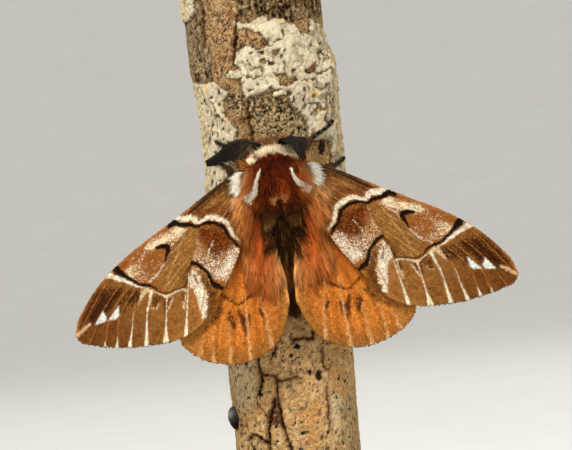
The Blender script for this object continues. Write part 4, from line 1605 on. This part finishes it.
def bark_marks(round_way, height, spots):
    """Colours over the bark, how far each place stands proud of it, and how thickly lichen crumbs grow."""
    marks = Markings(round_way, height, (212, 168, 110), wander=0.0)
    shifted = round_way + MARKS_TURN
    marks.x = shifted + 0.3 * layered(spots, 0.9, 61, 2) + 0.16 * noise(spots, 0.3, 67)
    marks.z = height + 0.3 * layered(spots, 0.9, 65, 2) + 0.16 * noise(spots, 0.3, 68)
    far = smooth(11.0, 16.0, np.abs(round_way))
    marks.x = marks.x + far * 2.6 * layered(spots, 3.0, 79)
    marks.z = marks.z + far * 2.6 * layered(spots, 3.0, 80)
    blotch, fine = layered(spots, 2.4, 62), layered(spots, 0.42, 63, 2)
    bent = spots + 0.16 * drift(spots, 0.5, 78)
    fibre = 0.75 * layered(bent, (0.26, 0.26, 1.7), 66) + 0.4 * noise(bent, 0.3, 71)
    dots, pores = noise(bent, 0.42, 64), noise(bent, 0.34, 74)
    lower = smooth(2.0, -2.0, height)
    marks.lay(smooth(0.0, 0.6, blotch) * 0.6, (228, 188, 130))
    marks.lay(smooth(0.05, 0.6, -blotch) * 0.5, (176, 126, 72))
    marks.lay(smooth(0.05, 0.5, -fine) * 0.6, (150, 104, 58))
    marks.lay(smooth(0.15, 0.5, fine) * 0.55, (240, 212, 164))
    marks.lay(smooth(0.5, 0.62, pores) * smooth(-0.4, 0.2, blotch) * 0.8, (60, 40, 22))
    relief = 0.14 * blotch + 0.1 * fine - 0.1 * smooth(0.4, 0.6, pores)
    upper = smooth(0.0, 4.0, height)
    marks.lay(upper * 0.6, (140, 110, 74))
    marks.lay(upper * smooth(0.0, 0.5, fine) * 0.6, (186, 160, 118))
    marks.lay(far * smooth(0.05, 0.4, layered(spots, 5.0, 82)) * 0.7, (146, 116, 80))
    marks.lay(far * smooth(0.05, 0.4, -layered(spots, (3.0, 3.0, 6.0), 83)) * 0.6, (196, 176, 138))
    for zone in WARM_PLATES:
        held = marks.within(zone, 0.25)
        marks.lay(held * 0.85, (168, 130, 88))
        marks.lay(held * smooth(0.0, 0.4, fine) * 0.8, (112, 72, 40))
        marks.lay(held * smooth(0.05, 0.45, -fine) * 0.7, (204, 174, 130))
        marks.lay(held * smooth(0.42, 0.52, pores) * smooth(-0.2, 0.25, blotch) * 0.95, (44, 28, 16))
        relief = relief + 0.14 * held
    for zone, colour, deep in ((FIBROUS, (112, 86, 54), (32, 23, 13)),
                               (GREY_EDGE, (140, 118, 88), (42, 32, 21))):
        held = marks.within(zone, 0.4)
        marks.lay(held * 0.9, colour)
        marks.lay(held * smooth(0.0, 0.3, fibre), deep)
        marks.lay(held * smooth(0.12, 0.4, -fibre) * 0.8, (196, 168, 124))
        relief = relief - held * 0.25 * smooth(-0.1, 0.5, fibre)
    crust = marks.within(DARK_CRUST, 0.3)
    speckled = marks.within(SPECKLED_CRUST, 0.3)
    marks.lay(crust * 0.85, (96, 78, 50))
    marks.lay(speckled * 0.7, (186, 164, 118))
    crumbs = layered(bent, 0.24, 68, 2)
    marks.lay(crust * smooth(0.05, 0.3, crumbs), (200, 172, 124))
    marks.lay(crust * smooth(0.05, 0.35, -crumbs), (24, 19, 12))
    marks.lay(speckled * smooth(0.05, 0.3, -crumbs), (42, 36, 22))
    relief = relief + (crust + speckled) * 0.16 * crumbs
    for zone in OCHRE_ZONES:
        marks.patch(zone, (218, 158, 92), cover=0.7 + 0.4 * fine, soft=0.8)
    for zone in PALE_ZONES:
        marks.patch(zone, (226, 202, 158), cover=0.7, soft=0.6)
    film = smooth(5.0, 8.5, round_way) * smooth(14.0, 11.0, round_way) * smooth(-24, -30, height)
    marks.lay(film * smooth(-0.3, 0.5, blotch) * 0.6, (164, 154, 112))
    marks.patch(RED_WOOD, (96, 52, 30), soft=0.2)
    relief = relief - 0.3 * smooth(-0.2, 0.3, inside(marks.x, marks.z, RED_WOOD))
    peppered = smooth(0.1, -0.4, noise(spots, 4.5, 69)) * lower + 0.25 * lower
    peppered = peppered + 0.5 * lower * smooth(-1.5, -4.0, shifted)
    mottle = lower * smooth(-1.0, -4.0, shifted) * smooth(-11.0, -9.0, shifted)
    marks.lay(mottle * smooth(0.1, 0.45, layered(bent, 0.5, 81, 2)) * 0.75, (84, 62, 38))
    marks.lay(smooth(0.36, 0.46, dots) * np.clip(peppered + 0.3, 0, 1) * 0.6, (236, 214, 172))
    marks.lay(smooth(0.5, 0.58, dots) * np.clip(peppered + 0.4, 0, 1), (34, 24, 15))
    relief = relief - 0.08 * lower * smooth(0.5, 0.58, dots)
    for x, z, wide, tall in KNOTS:
        held = smooth(1.2, 0.8, np.hypot((marks.x - x) / wide, (marks.z - z) / tall))
        marks.lay(held, (44, 32, 22))
        relief = relief - 0.2 * held
    over, up = (shifted + 10.9) / 1.4, height - KNOB_Z
    knob = smooth(1.1, 0.9, np.hypot(over / 1.1, up / 1.5))
    marks.lay(knob, (88, 80, 70))
    marks.lay(knob * smooth(-0.1, 0.4, fine) * 0.6, (52, 44, 36))
    marks.lay(knob * smooth(-0.1, 0.9, over * 0.6 - up * 0.7), (40, 34, 28))
    marks.lay(knob * smooth(0.8, 0.2, np.hypot(over + 0.2, up - 0.6)) * 0.7, (196, 192, 182))
    for line, width in CRACKS:
        away, share = nearest(marks.x, marks.z, along(line, 24))
        half = width * (0.5 + 0.5 * np.sin(math.pi * np.clip(share, 0.12, 0.88))) / 2
        marks.lay((1 - smooth(0.05, 0.5, away - half)) * 0.55, (132, 90, 50))
        marks.lay(1 - smooth(-0.06, 0.1, away - half), (36, 23, 12))
        relief = relief - 0.4 * (1 - smooth(-0.08, 0.14, away - half))
        relief = relief + 0.05 * smooth(0.25, 0.0, np.abs(away - half - 0.25))
    lichen = np.full(round_way.shape, -9.0)
    for sheet in LICHEN_SHEETS:
        lichen = np.maximum(lichen, inside(marks.x, marks.z, sheet))
    for gap in LICHEN_GAPS:
        lichen = np.minimum(lichen, -inside(marks.x, marks.z, gap))
    for x, z, reach in LICHEN_HOLES:
        lichen = np.minimum(lichen, np.hypot(marks.x - x, marks.z - z) - reach)
    for seam in LICHEN_SEAMS:
        lichen = np.minimum(lichen, nearest(marks.x, marks.z, along(seam, 16))[0] - 0.1)
    marks.lay(smooth(0.3, 0.0, np.abs(lichen + 0.14)) * 0.75, (88, 62, 38))
    held = smooth(-0.08, 0.1, lichen)
    marks.lay(held, (214, 201, 172))
    marks.lay(held * smooth(0.0, 0.5, layered(spots, 1.6, 70)) * 0.6, (234, 216, 176))
    marks.lay(held * smooth(0.05, 0.45, -layered(spots, 1.1, 73)) * 0.7, (182, 170, 138))
    folds = np.abs(layered(bent, (1.1, 1.1, 1.5), 75, 2))
    marks.lay(held * smooth(0.07, 0.0, folds) * 0.7, (128, 104, 74))
    marks.lay(held * smooth(0.25, 0.5, fine) * 0.45, (160, 142, 108))
    holes = noise(bent, 0.5, 77) + 0.08 * smooth(6.0, 9.0, np.abs(round_way))
    marks.lay(held * smooth(0.44, 0.52, holes) * 0.7, (150, 112, 70))
    marks.lay(held * smooth(0.56, 0.62, holes) * 0.9, (56, 40, 26))
    marks.lay(held * smooth(0.55, 0.75, noise(spots, 0.8, 76)) * 0.8, (228, 188, 124))
    broken = smooth(3.0, 7.0, round_way) * smooth(0.05, 0.3, layered(bent, (0.7, 0.7, 1.1), 84))
    marks.lay(held * broken * 0.75, (126, 104, 74))
    edge = smooth(9.0, 11.5, np.abs(round_way))
    marks.lay(held * edge * 0.5, (214, 190, 138))
    relief = relief * (1 - 0.5 * held) + held * (0.2 + 0.12 * smooth(0.0, 0.3, folds) + 0.05 * fine)
    rim = held * smooth(0.5, 0.1, lichen)
    relief = relief + 0.1 * rim - 0.2 * held * smooth(0.5, 0.58, holes)
    crumbly = held * (0.03 + 0.6 * edge + 0.25 * rim)
    rough = np.clip((1 - 0.5 * lower) * (1 - held * (0.85 - 0.3 * edge)), 0, 1)
    return np.concatenate([marks.colour, rough[:, None]], axis=-1), relief, np.clip(crumbly, 0, 1)


def cut_end(name, rim, low, high, finish):
    """A disc of bare wood set in a sawn end of the branch."""
    middle = np.array([0.0, 0.0, rim[:, 2].mean()])
    ends = np.array([middle + (0, 0, low), middle + (0, 0, high)])
    return make_mesh(name, np.concatenate([rim + (0, 0, low), rim + (0, 0, high), ends]),
                     tube_faces(2, len(rim)), finish, round_faces=False)


def crumbs(bark, crumbly, finish):
    """Lichen crumbs, grown on a copy of the bark's mesh wherever the lichen is crumbly."""
    obj = new_object("branch_lichen", bark.data.copy())
    mark_points(obj.data, "crumbly", "FLOAT", np.concatenate([crumbly, [0, 0]]))
    growth = Growth("lichen_crumbs")
    number = growth.ask("Crumbs Per Square Millimetre", 9.0 / MM**2)
    small = growth.ask("Smallest Crumb", 0.09 * MM)
    large = growth.ask("Largest Crumb", 0.3 * MM)
    seed = growth.ask("Seed", 12, "NodeSocketInt")
    spread = growth.add("GeometryNodeDistributePointsOnFaces", None,
                        {"Mesh": growth.start, "Density": growth.named("crumbly", "FLOAT") * number,
                         "Seed": seed})
    ball = growth.add("GeometryNodeMeshIcoSphere", None, {"Radius": 1.0, "Subdivisions": 1})
    size = growth.drawn(small, large, seed)
    stretch = growth.add("ShaderNodeCombineXYZ", None, {0: size, 1: size, 2: size})
    planted = growth.add("GeometryNodeInstanceOnPoints", None,
                         {"Points": spread, "Instance": ball, "Rotation": spread.beside("Rotation"),
                          "Scale": stretch})
    flat = growth.add("GeometryNodeScaleInstances", None, {"Instances": planted, "Scale": (1.3, 1.3, 0.7)})
    return growth.grow(flat, obj, finish)


def branch(finish, crumb_finish, wood):
    """The cut length of branch, finer on the moth's side, its lichen crumbs and its sawn ends."""
    foot = BRANCH_FOOT_Z - MOTH_Z
    height = np.linspace(foot, foot + BRANCH_LENGTH, BRANCH_ROWS)
    angle = np.concatenate([np.linspace(-FRONT_DEGREES, FRONT_DEGREES, FRONT_COLUMNS, endpoint=False),
                            np.linspace(FRONT_DEGREES, 360 - FRONT_DEGREES, REAR_COLUMNS, endpoint=False)])
    columns = len(angle)
    height, angle = (grid.ravel() for grid in np.meshgrid(height, angle, indexing="ij"))
    turn = np.radians(angle)
    round_way = ROUND_RADIUS * np.radians((angle + 180) % 360 - 180)
    spots = stacked(ROUND_RADIUS * np.sin(turn), -ROUND_RADIUS * np.cos(turn), height)
    colours, relief, crumbly = bark_marks(round_way, height, spots)
    radius = bark_radius(angle, height) + relief - BARK_BED
    points = stacked(radius * np.sin(turn), -radius * np.cos(turn), MOTH_Z + height)
    ends = np.array([[0, 0, BRANCH_FOOT_Z], [0, 0, BRANCH_FOOT_Z + BRANCH_LENGTH]])
    colours = np.concatenate([colours, np.tile([*paint(190, 156, 110), 0.5], (2, 1))])
    bark = make_mesh("branch_bark", np.concatenate([points, ends]), tube_faces(BRANCH_ROWS, columns), finish,
                     colours)
    rims = points.reshape(BRANCH_ROWS, columns, 3)
    cuts = [cut_end(name, rim * (CUT_SHARE, CUT_SHARE, 1.0), low, high, wood)
            for name, rim, low, high in (("branch_cut_low", rims[0], -0.04, 0.2),
                                         ("branch_cut_top", rims[-1], -0.2, 0.04))]
    return bark, crumbs(bark, crumbly, crumb_finish), *cuts


def turned_rings(profile, sides):
    """Rings of points round the upright axis, from pairs of radius and height."""
    turns = np.arange(sides) * 2 * math.pi / sides
    return [stacked(r * np.cos(turns), r * np.sin(turns), np.full(sides, z)) for r, z in profile]


def turned(name, profile, sides, finish):
    """A turned piece from its profile of (radius, height), from the middle underneath to the middle on
    top."""
    rings = turned_rings(profile[1:-1], sides)
    ends = [[0, 0, profile[0][1]], [0, 0, profile[-1][1]]]
    return make_mesh(name, np.concatenate([*rings, ends]), tube_faces(len(rings), sides), finish)


BASE_BEVEL = 0.8
ROD_BEVEL = 0.2


def stand(wood, brass):
    corner = [(BASE_RADIUS + BASE_BEVEL * (math.sin(t) - 1), BASE_THICK + BASE_BEVEL * (math.cos(t) - 1))
              for t in np.linspace(math.pi / 2, 0, 7)]
    foot = [(0, 0), (10, 0), (BASE_RADIUS - 0.5, 0), (BASE_RADIUS, 0.5)]
    base = turned("stand_base_wood", [*foot, *corner, (12, BASE_THICK), (0, BASE_THICK)], 128, wood)
    low, high = BASE_THICK + GAP, BASE_THICK + GAP + ROD_LENGTH
    inner = ROD_RADIUS - ROD_BEVEL
    rod = turned("stand_rod_brass", [(0, low), (1.5, low), (inner, low), (ROD_RADIUS, low + ROD_BEVEL),
                                     (ROD_RADIUS, high - ROD_BEVEL), (inner, high), (1.5, high), (0, high)],
                 64, brass)
    return base, rod


# Room, lights and camera

def area_light(name, place, target, size, power, colour=(1, 1, 1)):
    data = bpy.data.lights.new(name, "AREA")
    data.shape = "DISK"
    data.size = size
    data.energy = power
    data.color = colour
    lamp = new_object(name, data)
    lamp.location = place
    lamp.rotation_euler = (Vector(target) - Vector(place)).to_track_quat("-Z", "Y").to_euler()


def sweep(finish):
    """The floor: a wide flat disc whose rim curves up all round, so that no edge of it shows."""
    flat, rise, sides, steps = 1.1, 1.6, 96, 24
    bend = np.linspace(0, math.pi / 2, steps)
    rim = [(flat + rise * math.sin(t), rise * (1 - math.cos(t))) for t in bend]
    rings = turned_rings([(0.02, 0.0), (0.5, 0.0), *rim], sides)
    points = np.concatenate([*rings, [[0, 0, 0]]]) / MM
    ring = np.arange(sides)
    middle = stacked(np.full(sides, len(points) - 1), ring, (ring + 1) % sides)
    faces = [grid_faces(len(rings), sides, wrap=True)[:, ::-1], middle]
    return make_mesh("floor", points, faces, finish)


def room():
    paper = Finish("floor_paper", Roughness=0.9, Specular_IOR_Level=0.1)
    tooth = paper.noise(paper.place((0.05, 0.05, 0.05)), 1.0)
    colour = paper.ramp(tooth, (0.3, (0.79, 0.785, 0.76)), (0.7, (0.82, 0.815, 0.79)))
    sweep(paper.feed(Base_Color=colour))
    world = bpy.data.worlds.new("studio")
    world.use_nodes = True
    world.node_tree.nodes["Background"].inputs[0].default_value = (0.9, 0.89, 0.86, 1)
    world.node_tree.nodes["Background"].inputs[1].default_value = 0.8
    bpy.context.scene.world = world
    target = (0.0, -0.01, 0.045)
    area_light("key_light", (-0.14, -0.36, 0.42), target, 0.20, 2.6, (1.0, 0.98, 0.94))
    area_light("fill_light", (0.34, -0.40, 0.16), target, 0.30, 0.5)
    area_light("back_light", (0.1, 0.45, 0.40), target, 0.30, 0.4)


PHOTO_WIDTH = 572
PIXELS_PER_MM = 8.0
CAMERA_DISTANCE = 440.0
MOTH_PLANE_Y = -13.0
PICTURE_MIDDLE = (1.24, 42.63)
CAMERA_ROLL = 5.6
SENSOR = 36.0


def camera():
    data = bpy.data.cameras.new("camera")
    data.sensor_width = SENSOR
    data.lens = SENSOR * CAMERA_DISTANCE * PIXELS_PER_MM / PHOTO_WIDTH
    data.clip_start, data.clip_end = 0.01, 20.0
    obj = new_object("camera", data)
    obj.location = (PICTURE_MIDDLE[0] * MM, (MOTH_PLANE_Y - CAMERA_DISTANCE) * MM, PICTURE_MIDDLE[1] * MM)
    level = Matrix.Rotation(math.radians(90), 4, "X") @ Matrix.Rotation(math.radians(-CAMERA_ROLL), 4, "Z")
    obj.rotation_euler = level.to_euler()
    bpy.context.scene.camera = obj
    bpy.context.scene.view_settings.view_transform = "Standard"


# Each kind of wing: its edges, veins, drop, colours, slot, rows and columns of its membrane, and the lengths
# of its outer and inner fringes.
WINGS = {
    "forewing": ((FORE_COSTA, FORE_TERMEN, FORE_DORSUM), FORE_VEINS, 0.0, forewing_colours, "fore_scales",
                 (150, 80), (0.65, 0.5)),
    "hindwing": ((HIND_COSTA, HIND_TERMEN, HIND_DORSUM), HIND_VEINS, WING_DROP, hindwing_colours,
                 "hind_scales", (120, 80), (0.75, 1.2)),
}
SIDES = ((-1, "left"), (1, "right"))


def dress_wings(scales, membrane):
    for number, (kind, facts) in enumerate(WINGS.items()):
        lines, veins, drop, painter, slot, (rows, columns), fringes = facts
        for side, word in SIDES:
            wing = Wing(side, lines, veins, drop)
            name = f"{kind}_{word}"
            seed = 100 * number + side
            settle(wing_skin(name + "_membrane", wing, painter, membrane, rows, columns), slot, name)
            settle(wing_scales(name + "_scales", wing, painter, scales, 0.145, 0.1, seed + 10), slot)
            settle(wing_scales(name + "_under_scales", wing, painter, scales, 0.27, 0.2, seed + 20, False),
                   slot)
            for place, edge, count, length, more in (("outer", "margin", 2400, fringes[0], 30),
                                                     ("inner", "dorsum", 1600, fringes[1], 40)):
                settle(fringe(f"{name}_{place}_fringe", wing, painter, edge, count, length, seed + more,
                              scales), slot)


def dress_body(skin, hair, feeler, polish):
    settle(body_skin(skin), "body_coat", "head", "thorax", "abdomen")
    rng = np.random.default_rng(7)
    base, short, long, legs = Coat(rings=2), Coat(rings=2), Coat(), Coat(rings=2)
    base_coat(base, rng, 15000)
    body_tracts(short, long, rng)
    for name, coat in (("body_hair", base), ("short_hair", short), ("long_hair", long)):
        coat.pieces(name, hair, "body_coat")
    for side, word in SIDES:
        settle(eye(side, polish), "eye_black", f"eye_{word}")
    for word, points in (("left", ANTENNA_LEFT), ("right", ANTENNA_RIGHT)):
        name = f"antenna_{word}"
        teeth = comb(name + "_comb", points, word == "left", feeler)
        settle(shaft(name + "_shaft", points, feeler), "feeler_black", name)
        settle(teeth, "feeler_black")
    for number, name in enumerate(LEGS):
        settle(leg(name, feeler, legs, 300 + number), "feeler_black", name)
    legs.pieces("leg_hair", hair, "feeler_black")


room()
camera()
# Wing scales are dry and powdery, and the membrane below them shows their rows as relief.
dress_wings(grained("wing_scales", 0.04, (0.86, 1.14), (0.3, 0.7, 0.55, 0.8), 9.0),
            grained("wing_membrane", 0.04, (0.8, 1.1), (0, 1, 0.7, 0.85), 7.0, stretch=(1, 1, 0.7),
                    depth=0.05, cells=True))
dress_body(grained("moth_skin", 0.02, (0.7, 1.1), (0, 1, 0.7, 0.9), 4.0, stretch=(1, 1, 0.5), depth=0.12),
           grained("moth_hair", 0.06, (0.85, 1.18), (0.3, 0.7, 0.45, 0.68), 6.0, stretch=(1, 1, 0.3)),
           grained("feeler_horn", 0.04, (0.7, 1.4), (0.3, 0.7, 0.4, 0.65), 7.0, depth=0.02), eye_finish())
lichen = (0.05, (0.62, 1.2), (0, 1, 0.8, 0.95), 5.0, 4.0)
bark, *rest = branch(bark_finish(), grained("lichen", *lichen, depth=0.15), cut_wood_finish())
settle(bark, "bark", "perch_branch")
for piece in rest:
    settle(piece, "bark")
base, rod = stand(wood_finish(), brass_finish())
settle(base, "base_wood", "stand_base")
settle(rod, "rod_brass", "stand_rod")
